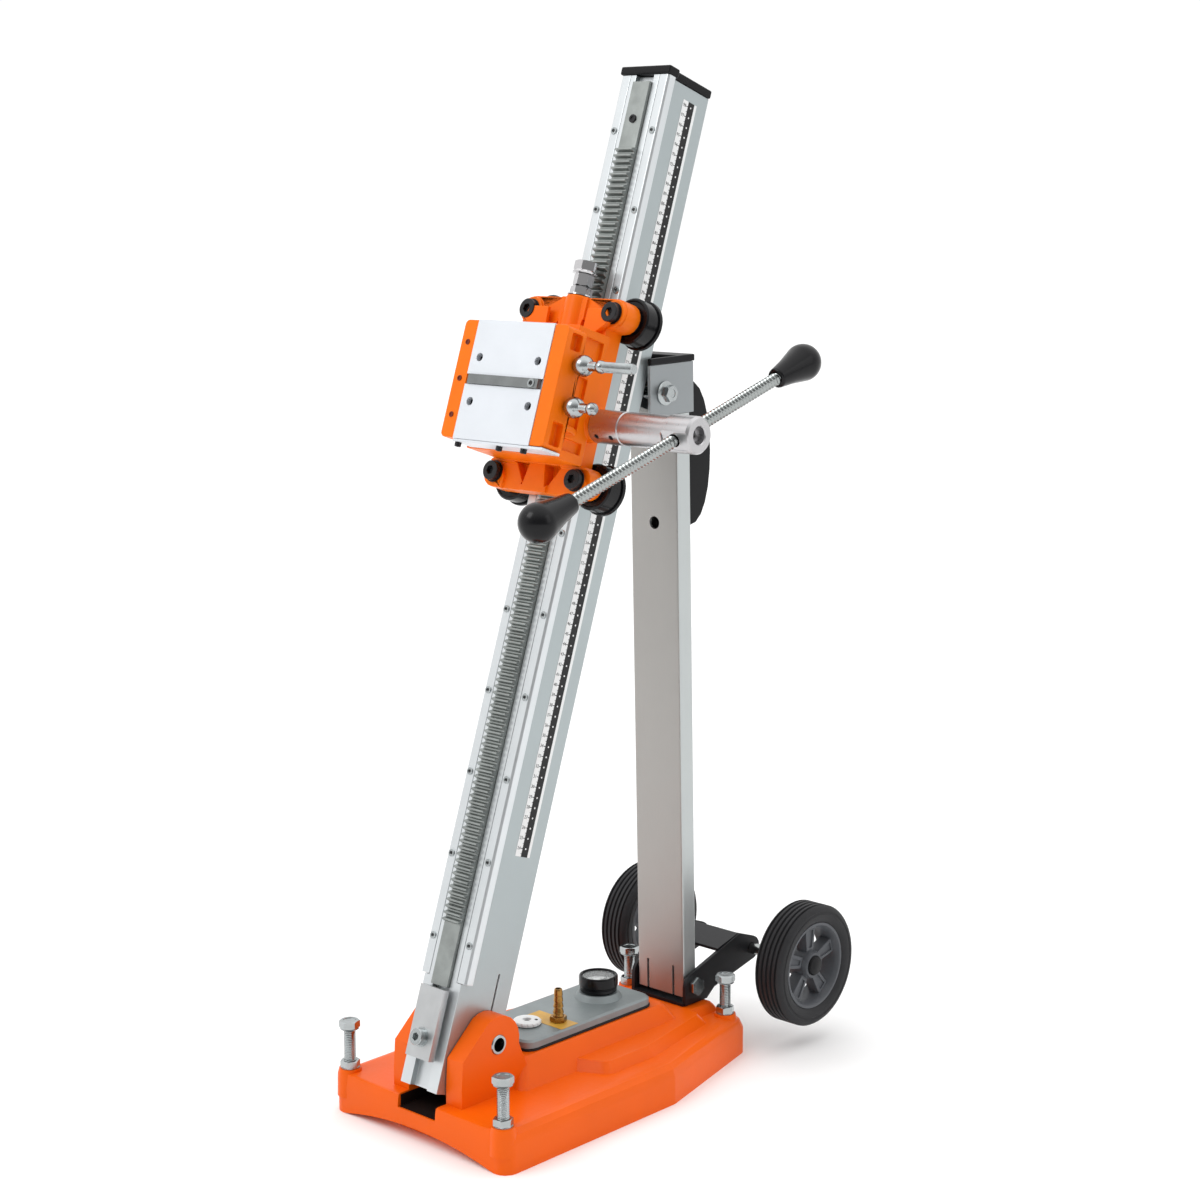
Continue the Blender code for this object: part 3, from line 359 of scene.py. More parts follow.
def lathe(name, profile, axis="Z", at=(0, 0, 0), steps=48, turn=0.0):
    """A ring that is extruded and resized along a profile of (radius, place), then stood on an axis."""
    deselect()
    nothing = 0.0005
    radius, height = max(profile[0][0], nothing), profile[0][1]
    bpy.ops.mesh.primitive_circle_add(vertices=steps, radius=radius, location=(0, 0, height))
    piece = named(name)
    bpy.ops.object.transform_apply(location=True, rotation=False, scale=False)
    enter(piece)
    loop = list(profile[1:])
    if profile[0][0] > 0:
        loop.append(profile[0])
    for next_radius, next_height in loop:
        next_radius = max(next_radius, nothing)
        bpy.ops.mesh.extrude_edges_move(TRANSFORM_OT_translate={"value": (0, 0, next_height - height)})
        share = next_radius / radius
        bpy.ops.transform.resize(value=(share, share, 1), center_override=(0, 0, next_height))
        radius, height = next_radius, next_height
    bpy.ops.mesh.select_all(action="SELECT")
    bpy.ops.mesh.remove_doubles(threshold=0.003)
    bpy.ops.mesh.normals_make_consistent(inside=False)
    leave()
    piece.data.transform(Matrix.Translation(at) @ TO_AXIS[axis] @ Matrix.Rotation(turn, 4, "Z"))
    return piece


def drawn_out(name, outline, axis, low, high, edge=0.4, segments=2):
    """An outline in the other two axes, drawn out along one axis, with rounded edges."""
    order = {"X": lambda a, b: (low, a, b), "Y": lambda a, b: (a, low, b),
             "Z": lambda a, b: (a, b, low)}[axis]
    deselect()
    bpy.ops.mesh.primitive_circle_add(vertices=len(outline), radius=1, fill_type="NGON")
    piece = named(name)
    for corner, (a, b) in zip(piece.data.vertices, outline):
        corner.co = order(a, b)
    enter(piece)
    along = {"X": (high - low, 0, 0), "Y": (0, high - low, 0), "Z": (0, 0, high - low)}[axis]
    bpy.ops.mesh.extrude_region_move(TRANSFORM_OT_translate={"value": along})
    bpy.ops.mesh.select_all(action="SELECT")
    bpy.ops.mesh.normals_make_consistent(inside=False)
    leave()
    return soften(piece, edge, segments) if edge else piece


def hexagon(name, across_flats, axis, low, high, at=(0, 0, 0), turn=0.0):
    """A hexagon head whose corners are turned down to a cone at both ends."""
    corner, flat = across_flats / math.sqrt(3), across_flats / 2
    head = lathe(name, [(0, low), (corner, low), (corner, high), (0, high)], axis, at, 6, turn)
    cone, face = (corner - flat) * 0.6, flat * 0.98
    profile = [(0, low - 1), (face, low - 1), (face, low), (corner, low + cone),
               (corner, high - cone), (face, high), (face, high + 1), (0, high + 1)]
    cutter = lathe("corner_turner", profile, axis, at, 36)
    combine(head, cutter, "INTERSECT")
    return head


def combine(piece, other, operation):
    """Cuts, adds or meets another shape, which is used up."""
    step = piece.modifiers.new("shape", "BOOLEAN")
    step.operation = operation
    step.solver = "EXACT"
    step.object = other
    apply(piece, step)
    bpy.data.objects.remove(other, do_unlink=True)
    return piece


def joined(name, pieces):
    """Several loose shapes as one piece."""
    deselect()
    for piece in pieces:
        piece.select_set(True)
    bpy.context.view_layer.objects.active = pieces[0]
    if len(pieces) > 1:
        bpy.ops.object.join()
    return named(name)


def copied(piece, name, move=(0, 0, 0), mirror=False):
    """A copy with a mesh of its own."""
    twin = piece.copy()
    twin.data = piece.data.copy()
    twin.name = twin.data.name = name
    bpy.context.scene.collection.objects.link(twin)
    twin.data.transform(Matrix.Translation(move))
    if mirror:
        twin.data.transform(Matrix.Scale(-1, 4, (1, 0, 0)))
        twin.data.flip_normals()
    return twin


def settle(piece, place, body, look, nodes=(), smooth=32):
    """Puts a finished piece in the row's frame, on its body, with its material."""
    piece.data.transform(place)
    piece.data.materials.clear()
    piece.data.materials.append(look)
    select(piece)
    bpy.ops.object.shade_smooth_by_angle(angle=math.radians(smooth))
    level = piece.modifiers.new("flat faces", "WEIGHTED_NORMAL")
    level.keep_sharp = True
    apply(piece, level)
    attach(piece, body)
    if nodes:
        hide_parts(*nodes)
    return piece


def cad_shape(node, name, place):
    """A CAD node's shape in a millimetre frame, with its points merged and its coplanar faces joined."""
    source = frame["nodes"][node]
    piece = source.copy()
    piece.data = source.data.copy()
    piece.name = piece.data.name = name
    piece.parent = None
    for key in list(piece.keys()):
        del piece[key]
    bpy.context.scene.collection.objects.link(piece)
    piece.data.transform(place.inverted())
    enter(piece)
    bpy.ops.mesh.remove_doubles(threshold=0.002)
    bpy.ops.mesh.dissolve_limited(angle_limit=math.radians(0.6))
    leave()
    bpy.ops.mesh.customdata_custom_splitnormals_clear()
    return piece


def eased(node, name, look, width=0.5, segments=2, angle=25, smooth=40):
    """A CAD node as a new piece with rounded edges."""
    piece = soften(cad_shape(node, name, WORLD), width, segments, angle)
    return settle(piece, WORLD, body_of(node), look, [node], smooth)


def body_of(node):
    return next(body for body, nodes in frame["record"]["behaviour"]["bodies"].items() if node in nodes)


def middle_of(node):
    low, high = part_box(node)
    return (Vector(low) + Vector(high)) / 2 / MM


def top_of(node):
    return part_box(node)[1][2] / MM


def threaded(name, radius, pitch, axis, low, high, at=(0, 0, 0), depth=0.6, steps=20):
    """A rod with a ridge that winds round it."""
    core = radius - depth
    shank = lathe(name, [(0, low), (core, low), (core, high), (0, high)], axis, at, steps)
    deselect()
    bpy.ops.mesh.primitive_circle_add(vertices=3, radius=1)
    ridge = named("ridge")
    foot = core - 0.3 * depth
    for corner, (out, along) in zip(ridge.data.vertices, ((foot, 0.04), (radius, 0.5), (foot, 0.96))):
        corner.co = (out, 0, low + along * pitch)
    step = ridge.modifiers.new("winding", "SCREW")
    step.angle = 2 * math.pi
    step.screw_offset = pitch
    step.iterations = int((high - low) / pitch) - 1
    step.steps = step.render_steps = steps
    step.use_merge_vertices = False
    apply(ridge, step)
    enter(ridge)
    bpy.ops.mesh.fill_holes(sides=4)
    bpy.ops.mesh.select_all(action="SELECT")
    bpy.ops.mesh.normals_make_consistent(inside=False)
    leave()
    ridge.data.transform(Matrix.Translation(at) @ TO_AXIS[axis])
    return joined(name, [shank, ridge])


def nut(name, across_flats, bore, axis, low, high, at=(0, 0, 0), turn=0.0):
    """A hexagon nut with a bore that clears its thread."""
    hole = lathe("nut_bore", [(0, low - 1), (bore, low - 1), (bore, high + 1), (0, high + 1)], axis, at, 24)
    return combine(hexagon(name, across_flats, axis, low, high, at, turn), hole, "DIFFERENCE")


def socket_screw(name, radius, tall, axis, face, out, at=(0, 0, 0), socket=0.5, steps=24):
    """A cap screw's head with a socket in its top, which stands on a face and points out, +1 or -1."""
    lip, bore = min(0.5, tall * 0.2), radius * socket
    profile = [(0, 0), (radius, 0), (radius, tall - lip), (radius - lip, tall), (bore, tall),
               (bore * 0.96, tall * 0.4), (0, tall * 0.3)]
    return lathe(name, [(r, face + out * h) for r, h in profile], axis, at, steps)


def lettering(text, size, place):
    """A figure as a thin solid, centred on its place and facing its Z."""
    deselect()
    bpy.ops.object.text_add()
    words = bpy.context.object
    words.data.body = text
    words.data.size = size
    words.data.align_x = words.data.align_y = "CENTER"
    words.data.extrude = 0.06
    words.data.resolution_u = 2
    bpy.ops.object.convert(target="MESH")
    figure = bpy.context.object
    figure.data.transform(place)
    return figure


def arc(centre, radius, start_deg, end_deg, steps):
    turns = [math.radians(start_deg + (end_deg - start_deg) * k / steps) for k in range(steps + 1)]
    return [(centre[0] + radius * math.cos(turn), centre[1] + radius * math.sin(turn))
            for turn in turns]


def cut(piece, *shapes):
    for shape in shapes:
        combine(piece, shape, "DIFFERENCE")
    return piece


def add(piece, *shapes):
    for shape in shapes:
        combine(piece, shape, "UNION")
    return piece


# Base

CORNERS = ("front_left", "front_right", "rear_left", "rear_right")
COVER_STEM = 6.0                          # the cover's raised seats, above its flat face
LOCK_NUT_LOW, LOCK_NUT_TOP = 43.8, 51.3   # clear of a screw's head when it is screwed right down


def foot_pocket():
    """Dark sheets on the floor, sides and back of the pocket that the column's foot stands in: painted shade,
    where the foot shadows the pocket.
    """
    floor = block("foot_pocket_shade_sheets", (-25.4, -62, 28.1), (25.4, 32.6, 28.8), 0.2)
    sides = [block("pocket_side", (low, -60, 28.8), (low + 0.5, 31, 39.5), 0.1) for low in (-25.7, 25.2)]
    back = block("pocket_back", (-25.4, 32.1, 28.8), (25.4, 32.7, 60), 0.1)
    settle(joined("foot_pocket_shade_sheets", [floor, *sides, back]), WORLD, "base", LOOK["deep"])


def levelling_bolt(corner):
    """A levelling screw with a dished head, and the lock nut that stays on the base."""
    node = "levelling_screw_" + corner
    middle, top = middle_of(node), top_of(node)
    at = (middle.x, middle.y, 0)
    head = hexagon("head", 18, "Z", top - 7.4, top, at, 0.3)
    dish = lathe("dish", [(0, top - 0.8), (6.2, top - 0.6), (6.9, top + 1), (0, top + 1)], "Z", at, 32)
    washer = lathe("washer_face", [(0, top - 9), (8.6, top - 9), (9.4, top - 8.3), (9.0, top - 7.2),
                                   (0, top - 7.2)], "Z", at, 32)
    shank = threaded("shank", 6, 1.75, "Z", 7, top - 8.5, at, 0.75)
    point = lathe("point", [(0, 3.2), (3.4, 3.2), (5.3, 5.2), (5.3, 8), (0, 8)], "Z", at, 24)
    piece = joined("levelling_bolt_" + corner, [cut(head, dish), washer, shank, point])
    settle(piece, WORLD, body_of(node), LOOK["zinc"], [node])
    lock = nut("lock_nut_" + corner, 17, 6.2, "Z", LOCK_NUT_LOW, LOCK_NUT_TOP, at, 0.5)
    collar = lathe("collar", [(6.3, LOCK_NUT_LOW - 0.1), (9.3, LOCK_NUT_LOW - 0.1),
                              (9.3, LOCK_NUT_LOW + 0.8), (6.3, LOCK_NUT_LOW + 1.4)], "Z", at, 32)
    settle(joined("lock_nut_" + corner, [lock, collar]), WORLD, "base", LOOK["zinc"])


def pivot_tube():
    pin = middle_of("pivot_pin")
    profile = [(6.8, -48), (8.9, -48), (9.5, -47.2), (9.5, 47.2), (8.9, 48), (6.8, 48)]
    settle(lathe("pivot_tube", profile, "X", pin, 48), WORLD, "base", LOOK["zinc"],
           ["pivot_pin"])


def vacuum_gauge():
    """The gauge's cup, the figures and marks on its dial, and its domed window."""
    gauge = middle_of("gauge_case")
    low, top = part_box("gauge_case")[0][2] / MM, top_of("gauge_case")
    at = (gauge.x, gauge.y, 0)
    case = [(0, low), (17.5, low), (19, low + 1.5), (19, low + 4.4), (18.4, low + 4.9), (18.4, low + 5.5),
            (19, low + 6), (20, low + 7), (20, top + 0.6), (19.2, top + 2), (18, top + 2.4),
            (16.8, top + 1.6), (16.8, low + 8), (0, low + 8)]
    settle(lathe("gauge_housing", case, "Z", at, 64), WORLD, "base", LOOK["gloss"],
           ["gauge_case"])
    dial = top_of("gauge_dial")
    marks = []
    start_deg, sweep_deg = -135, 270
    for k in range(31):
        turn = math.radians(start_deg + sweep_deg * k / 30)
        inner = 12.6 if k % 3 == 0 else 13.9
        mark = block("mark", (-0.22, inner, dial), (0.22, 15.4, dial + 0.12), 0)
        mark.data.transform(Matrix.Translation(at) @ Matrix.Rotation(turn, 4, "Z"))
        marks.append(mark)
    for k, figure in enumerate(("0", "20", "40", "60", "80", "100")):
        turn = math.radians(start_deg + sweep_deg * k / 5)
        spot = (at[0] - 10 * math.sin(turn), at[1] + 10 * math.cos(turn), dial)
        marks.append(lettering(figure, 3.0, Matrix.Translation(spot)))
    settle(joined("gauge_markings", marks), WORLD, "base", LOOK["ink"])
    lens = top_of("gauge_lens")
    dome = [(0, lens + 0.6), (16.5, lens + 0.6), (16.5, lens + 1.8), (12, lens + 3), (6, lens + 3.6),
            (0, lens + 3.8)]
    settle(lathe("gauge_window", dome, "Z", at, 64), WORLD, "base", glass(), ["gauge_lens"])


def hose_nipple():
    """The brass barb that the pump's hose pushes onto, and the yellow plate beside it."""
    barb, low, top = middle_of("hose_barb"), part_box("hose_barb")[0][2] / MM, top_of("hose_barb")
    seat = top - 34
    profile = [(2.6, low), (5, low), (5, seat + 0.3), (5.6, seat + 0.3), (5.6, seat + 6.5), (4.9, seat + 8)]
    for k in range(4):
        ridge = seat + 9 + 6 * k
        profile += [(4.1, ridge), (5.5 - 0.35 * k, ridge + 0.5), (5.4 - 0.35 * k, ridge + 1.4),
                    (4.1, ridge + 5.2)]
    profile += [(3.8, top - 0.5), (3.4, top), (2.6, top)]
    stem = lathe("hose_nipple", profile, "Z", (barb.x, barb.y, 0), 32)
    flats = nut("flats", 15, 4, "Z", seat + 0.4, seat + 6, (barb.x, barb.y, 0), 0.4)
    settle(joined("hose_nipple", [stem, flats]), WORLD, "base", LOOK["brass"], ["hose_barb"])
    face = top_of("vacuum_cover") - COVER_STEM
    label = block("hose_label", (-15, 95, face + 0.05), (38.5, 119, face + 0.3), 0.1)
    settle(label, WORLD, "base", LOOK["sticker"])


def vent_wheel():
    """The fluted release knob, with a dot at its middle and one that shows how far it is turned."""
    top = top_of("vacuum_cover") - COVER_STEM
    vent = middle_of("vent_knob")
    knob = lathe("vent_wheel", [(0, top - 4.4), (4.9, top - 4.4), (4.9, top + 0.4), (13, top + 0.4),
                                (14.3, top + 1.2), (14.3, top + 3.2), (13.2, top + 4.4), (7, top + 5),
                                (4.4, top + 4.8), (3.9, top + 2.4), (0, top + 2.4)],
                 "Z", (vent.x, vent.y, 0), 48)
    for k in range(16):
        turn = 2 * math.pi * k / 16
        spot = (vent.x + 15 * math.cos(turn), vent.y + 15 * math.sin(turn), 0)
        cut(knob, lathe("flute", [(0, top + 0.2), (1.5, top + 0.2), (1.5, top + 6), (0, top + 6)],
                        "Z", spot, 10))
    settle(knob, WORLD, "vent", LOOK["white"], ["vent_knob"])
    dots = [lathe("dot", [(0, top + 4.6), (size, top + 4.6), (size, top + 5.15), (0, top + 5.15)], "Z",
                  (vent.x + x, vent.y + y, 0), 16) for x, y, size in ((0, 0, 3.4), (7.6, 5.2, 1.6))]
    dots[0].data.transform(Matrix.Translation((0, 0, -2.3)))
    settle(joined("vent_marks", dots), WORLD, "vent", LOOK["ink"])


# Wheels

TREAD = (-11.5, -5.8, 0.0, 5.8, 11.5)   # where the tyre's grooves run


def tyre(name):
    """A ribbed tyre round X, at the origin."""
    side = [(46, 14), (47.5, 15.6), (51, 16.9), (53.5, 17.4), (55, 17.4), (55.6, 16.7), (57.6, 16.7),
            (58.2, 17.3), (60.2, 17), (62.4, 15.8), (63.9, 14)]
    tread = []
    for groove in TREAD:
        tread += [(64.5, groove - 1.5), (62.4, groove - 0.8), (62.4, groove + 0.8), (64.5, groove + 1.5)]
    profile = [(r, -x) for r, x in side] + tread + [(r, x) for r, x in reversed(side)]
    return lathe(name, profile, "X", steps=72)


def rim(name):
    """A moulded rim with five broad spokes, its show side towards +X."""
    ring = lathe(name, [(39.6, -13), (43.2, -14.6), (45.7, -14.6), (45.7, 14.6), (43.2, 14.6),
                        (41.8, 13.2), (39.6, 8), (39.6, -8)], "X", steps=60)
    shapes = [lathe("hub", [(6.4, -14.5), (13, -14.5), (15, -12), (15.5, 9), (13, 13.4), (6.4, 13.4)],
                    "X", steps=40)]
    for k in range(5):
        spoke = drawn_out("spoke", [(-5.6, 12), (5.6, 12), (8.6, 41), (-8.6, 41)], "X", -6, 8, 1.2)
        dent = drawn_out("dent", [(-2.6, 18), (2.6, 18), (4.6, 37), (-4.6, 37)], "X", 6.4, 10, 0.6)
        cut(spoke, dent)
        spoke.data.transform(Matrix.Rotation(2 * math.pi * k / 5, 4, "X"))
        shapes.append(spoke)
    return add(ring, *shapes)


def wheels():
    """Both wheels, each a tyre, a rim and a hub cap; the left one is mirrored."""
    cap = [(0, 12.6), (10.5, 12.6), (10.5, 14.6), (9.4, 16.2), (5, 17.2), (0, 17.3)]
    shapes = {"tyre": tyre("tyre_model"), "rim": rim("rim_model"),
              "cap": lathe("cap_model", cap, "X", steps=32)}
    finishes_of = {"tyre": ("tyre", "tyre_rubber"), "rim": ("rim", "grey_rim"),
                   "cap": ("plastic", "black_plastic")}
    for word in ("left", "right"):
        body = body_of("rim_" + word)
        for part, model in shapes.items():
            piece = copied(model, "%s_%s_wheel" % (part, word), mirror=word == "left")
            piece.data.transform(Matrix.Translation(middle_of("tyre_" + word)))
            look, slot = finishes_of[part]
            nodes = [part + "_" + word] if part != "cap" else []
            settle(piece, WORLD, body, LOOK[look], nodes)
    for model in shapes.values():
        bpy.data.objects.remove(model, do_unlink=True)


# Column

WALL = 25.0                          # the column's right face, from its middle
SCALE_LOW, SCALE_HIGH = 232, 985     # the ends of the depth scale, above the column's foot
BAND, STRIP, EDGE, LAST = 34, 42, 51, 54.7   # where its white, black and white stripes begin and end
RAIL_SCREW_X, RAIL_SCREW_STEP, RAIL_SCREWS = 24.8, 80.0, 11
TOP_RAIL_SCREW = 941.4


def on_wall(depth, rise):
    """A place on the column's right wall, facing outwards and upright."""
    return Matrix(((0, 0, 1, WALL + 0.3), (1, 0, 0, depth), (0, 1, 0, rise), (0, 0, 0, 1)))


def depth_scale():
    """A white stripe with a figure and a tick each centimetre, and a black one with a row of dots."""
    band = block("scale_band", (WALL, BAND, SCALE_LOW), (WALL + 0.25, STRIP, SCALE_HIGH), 0)
    settle(band, COLUMN, "column", LOOK["white"])
    strip = block("scale_strip", (WALL, STRIP, SCALE_LOW), (WALL + 0.3, EDGE, SCALE_HIGH), 0)
    settle(strip, COLUMN, "column", LOOK["ink"])
    line = block("scale_line", (WALL, EDGE, SCALE_LOW), (WALL + 0.25, LAST, SCALE_HIGH), 0)
    settle(line, COLUMN, "column", LOOK["white"])
    low, high = WALL + 0.2, WALL + 0.34
    marks, dots = [], []
    for centimetre in range(24, 99):
        rise = centimetre * 10
        marks.append(block("tick", (low, STRIP - 2.4, rise - 0.35), (high, STRIP, rise + 0.35), 0))
        marks.append(block("half_tick", (low, STRIP - 1.2, rise - 5.3), (high, STRIP, rise - 4.8), 0))
        marks.append(lettering(str(centimetre), 4.6, on_wall(BAND + 3, rise)))
        dots.append(lathe("dot", [(0, low), (0.9, low), (0.9, WALL + 0.4), (0, WALL + 0.4)], "X",
                          (0, (STRIP + EDGE) / 2, rise), 8))
    settle(joined("scale_figures", marks), COLUMN, "column", LOOK["ink"])
    settle(joined("scale_dots", dots), COLUMN, "column", LOOK["white"])


def row_of_screws(name, model, look):
    """Copies of the model all down the column, in place of it."""
    rises = [TOP_RAIL_SCREW - RAIL_SCREW_STEP * k for k in range(RAIL_SCREWS)]
    row = [copied(model, "screw", (0, 0, rise)) for rise in rises]
    bpy.data.objects.remove(model, do_unlink=True)
    settle(joined(name, row), COLUMN, "column", LOOK[look])


def rail_screws():
    for side, word in ((-1, "left"), (1, "right")):
        at = (side * RAIL_SCREW_X, 0, 0)
        head = socket_screw("head", 3.6, 1.1, "Y", -0.1, -1, at, 0.55, 16)
        row_of_screws("rail_screws_" + word, head, "zinc")
        # A flat black hexagon at the bottom of each socket: painted shade in the socket's depth.
        socket = lathe("socket", [(0, -0.25), (1.6, -0.25), (1.6, -0.75), (0, -0.75)], "Y", at, 6)
        row_of_screws("rail_screw_socket_shade_" + word, socket, "ink")


def stop_plate_bolt():
    """The cap screw that holds the stop at the column's foot, and the one at the rack's top end."""
    at = (0, 0, 48)
    head = socket_screw("stop_plate_bolt", 8, 8, "Y", -11, -1, at, 0.1, 36)
    key = lathe("key_hole", [(0, -22), (4.1, -22), (4.1, -14), (0, -14)], "Y", at, 6)
    washer = lathe("washer", [(0, -11), (9.4, -11), (9.4, -12.2), (0, -12.2)], "Y", at, 36)
    shank = lathe("shank", [(0, -12), (4.8, -12), (4.8, 3), (0, 3)], "Y", at, 20)
    bolt = joined("stop_plate_bolt", [cut(head, key), washer, shank])
    settle(bolt, COLUMN, "column", LOOK["zinc"])
    top = socket_screw("rack_end_screw", 4.2, 1.6, "Y", -3.5, -1, (0, 0, 952), 0.5, 20)
    settle(top, COLUMN, "column", LOOK["oxide"])


def head_fittings():
    """The bolt through the strut's head, with its washer."""
    pin = middle_of("head_bolt")
    half = 31.6   # of the head's width
    at = (0, pin.y, pin.z)
    shank = lathe("shank", [(0, -half - 6), (4, -half - 6), (5, -half - 5), (5, half + 0.4),
                            (0, half + 0.4)], "X", at, 24)
    flange = lathe("flange", [(0, half + 0.3), (12, half + 0.3), (12, half + 1.5), (8.6, half + 3.4),
                              (0, half + 3.4)], "X", at, 48)
    head = hexagon("head", 15, "X", half + 3, half + 10, at, 0.2)
    mark = lathe("dimple", [(0, half + 9.2), (4.2, half + 9.4), (4.8, half + 11), (0, half + 11)],
                 "X", at, 24)
    piece = joined("strut_head_bolt", [shank, flange, cut(head, mark)])
    settle(piece, WORLD, "strut", LOOK["zinc"], ["head_bolt"])


# Strut

def ribbed_grip():
    """The grip with upright grooves in its rounded back, cut down to a smaller core."""
    grip = cad_shape("back_grip", "ribbed_grip", STRUT)
    start, middle = 10.5, 558   # the strut's rear face, and the grip's place up the strut
    inner = [(start - 1, middle - 71.5)]
    inner += [(start + 35 * max(math.cos(math.radians(turn)), 0) ** 0.8,
               middle + 72 * math.sin(math.radians(turn))) for turn in range(-75, 76, 5)]
    inner += [(start - 1, middle + 71.5)]
    grooves = [block("groove", (x - 1.3, 12, 480), (x + 1.3, 60, 640), 0)
               for x in (-19, -11.4, -3.8, 3.8, 11.4, 19)]
    cutter = combine(joined("grooves", grooves), drawn_out("core", inner, "X", -40, 40, 0), "DIFFERENCE")
    cut(grip, cutter)
    settle(soften(grip, 1.0, 2, 35), STRUT, "strut", LOOK["plastic"], ["back_grip"], 45)


# Carriage

ARM_RISE, ROLLER_X = 81.0, 54.0
SHAFT_DEPTH, SHAFT_RISE = -20.0, -26.0   # the feed shaft's axis
CLAMP_DEPTH = -76.0
STOP_DEPTH = -21.0
STOP_BOSS_TOP = 97.4


def casting_ribs(side):
    """The ribs and floors that fill out one side of the casting."""
    ribs = []
    for rise in (-42, 14):
        ribs.append(drawn_out("rib", [(side * 48, -71), (side * 66, -71), (side * 60, -52), (side * 50, -34),
                                      (side * 48, -30)], "Z", rise, rise + 6, 0))
    ribs.append(drawn_out("web", [(side * 30, 52), (side * 56, 72), (side * 50, 84), (side * 26, 84),
                                  (side * 24, 52)], "Y", -34, -24, 0))
    inner, outer = sorted((side * 30, side * 52))
    ribs.append(block("upper_floor", (inner, -66, 20), (outer, -30, 54), 0))
    ribs.append(block("lower_floor", (inner, -66, -62), (outer, -30, -43), 0))
    ribs.append(block("middle_floor", (inner, -66, -40), (outer, -40, 14), 0))
    return ribs


def arm_recess(side, level):
    """What is milled off the front of one arm, round its roller's boss."""
    rise = level * ARM_RISE
    face = block("arm_face", (17, -30, rise - 11), (75, -25, rise + 19), 0)
    boss = lathe("boss", [(0, -34), (13, -34), (14, -20), (0, -20)], "Y", (ROLLER_X, 0, rise), 36)
    combine(face, boss, "DIFFERENCE")
    if side < 0:
        face.data.transform(Matrix.Scale(-1, 4, (1, 0, 0)))
        face.data.flip_normals()
    if level < 0:
        face.data.transform(Matrix.Translation((0, 0, -8)))
        combine(face, block("trim", (-80, -40, -200), (80, 0, -100), 0), "DIFFERENCE")
    return face


def carriage_casting():
    """The CAD casting with its bosses, ribs and recesses, and then its edges rounded."""
    casting = cad_shape("carriage_casting", "carriage_frame", CARRIAGE)
    stop_boss = lathe("stop_boss", [(0, 54), (13.5, 54), (13, 95), (11.8, STOP_BOSS_TOP), (0, STOP_BOSS_TOP)],
                      "Z", (0, STOP_DEPTH, 0), 36)
    shaft = (0, SHAFT_DEPTH, SHAFT_RISE)
    shaft_boss = lathe("shaft_boss", [(0, 48), (17, 48), (15.5, 58), (14.5, 59.4), (0, 59.4)], "X", shaft, 40)
    add(casting, stop_boss, shaft_boss, *casting_ribs(-1), *casting_ribs(1))
    for side in (-1, 1):
        for level in (-1, 1):
            cut(casting, arm_recess(side, level))
        vee = drawn_out("vee", [(side * 10, -68.5), (side * 30, -68.5), (side * 15, -91)], "Y", -32, -15, 0)
        upper = drawn_out("upper_vee", [(side * 14, 63), (side * 27, 63), (side * 16, 74)], "Y", -32, -16, 0)
        cut(casting, vee, upper)
        inner, outer = sorted((side * 60, side * 72))
        for low, high in ((30, 46), (-60, -38)):
            cut(casting, block("side_pocket", (inner, -89, low), (outer, -75, high), 1.5))
    cut(casting, block("rack_way", (-12.5, -10.5, 40), (12.5, 2, 110), 0),
        lathe("stop_bore", [(0, 50), (6.3, 50), (6.3, 110), (0, 110)], "Z", (0, STOP_DEPTH, 0), 24),
        lathe("shaft_bore", [(0, 40), (10.6, 40), (10.6, 80), (0, 80)], "X", shaft, 32))
    soften(tidied(casting, 0.15), 0.9, 2, 28, clamp=False)
    settle(casting, CARRIAGE, "carriage", LOOK["casting_enamel"], ["carriage_casting"], 42)


def plate_screws():
    """The screws in the motor's plate, its key and its foot, and the row of grub screws in the jaw."""
    screws = [socket_screw("screw", 3.9, 5, "Y", -86.5, -1, (x, 0, z)) for x in (-38.3, 38.3)
              for z in (-28, 15)]
    settle(joined("plate_screws", screws), CARRIAGE, "carriage", LOOK["oxide"])
    at = (38, 0, -6.5)
    ring = lathe("key_screw", [(0, -98.2), (4.2, -98.2), (4.2, -99.2), (2.4, -99.2), (2.2, -98.4),
                               (0, -98.4)], "Y", at, 32)
    settle(ring, CARRIAGE, "carriage", LOOK["zinc"])
    # A flat black hexagon in the key screw's socket: painted shade in the socket's depth.
    spot = lathe("key_screw_socket_shade", [(0, -98.3), (2.1, -98.3), (2.1, -98.8), (0, -98.8)], "Y", at, 6)
    settle(spot, CARRIAGE, "carriage", LOOK["ink"])
    strip = [socket_screw("grub", 2.7, 0.9, "Y", -96, -1, (-59, 0, z), 0.6, 16) for z in (29, -6.5, -42)]
    settle(joined("jaw_grub_screws", strip), CARRIAGE, "carriage", LOOK["grub"])
    foot = block("jaw_foot_plate", (-50, -95.8, -67.2), (67.4, -71, -64.7), 0.4)
    settle(foot, CARRIAGE, "carriage", LOOK["plate"])
    under = [socket_screw("grub", 3.2, 5, "Z", -66.5, -1, (x, -90.5, 0), 0.5, 20) for x in (-47, 8, 40)]
    settle(joined("plate_stop_screws", under), CARRIAGE, "carriage", LOOK["oxide"])


def ball(radius, middle, start_deg, end_deg, steps):
    """The part of a ball's profile between two turns, for a lathe."""
    return [(r, along) for along, r in arc((middle, 0), radius, start_deg, end_deg, steps)]


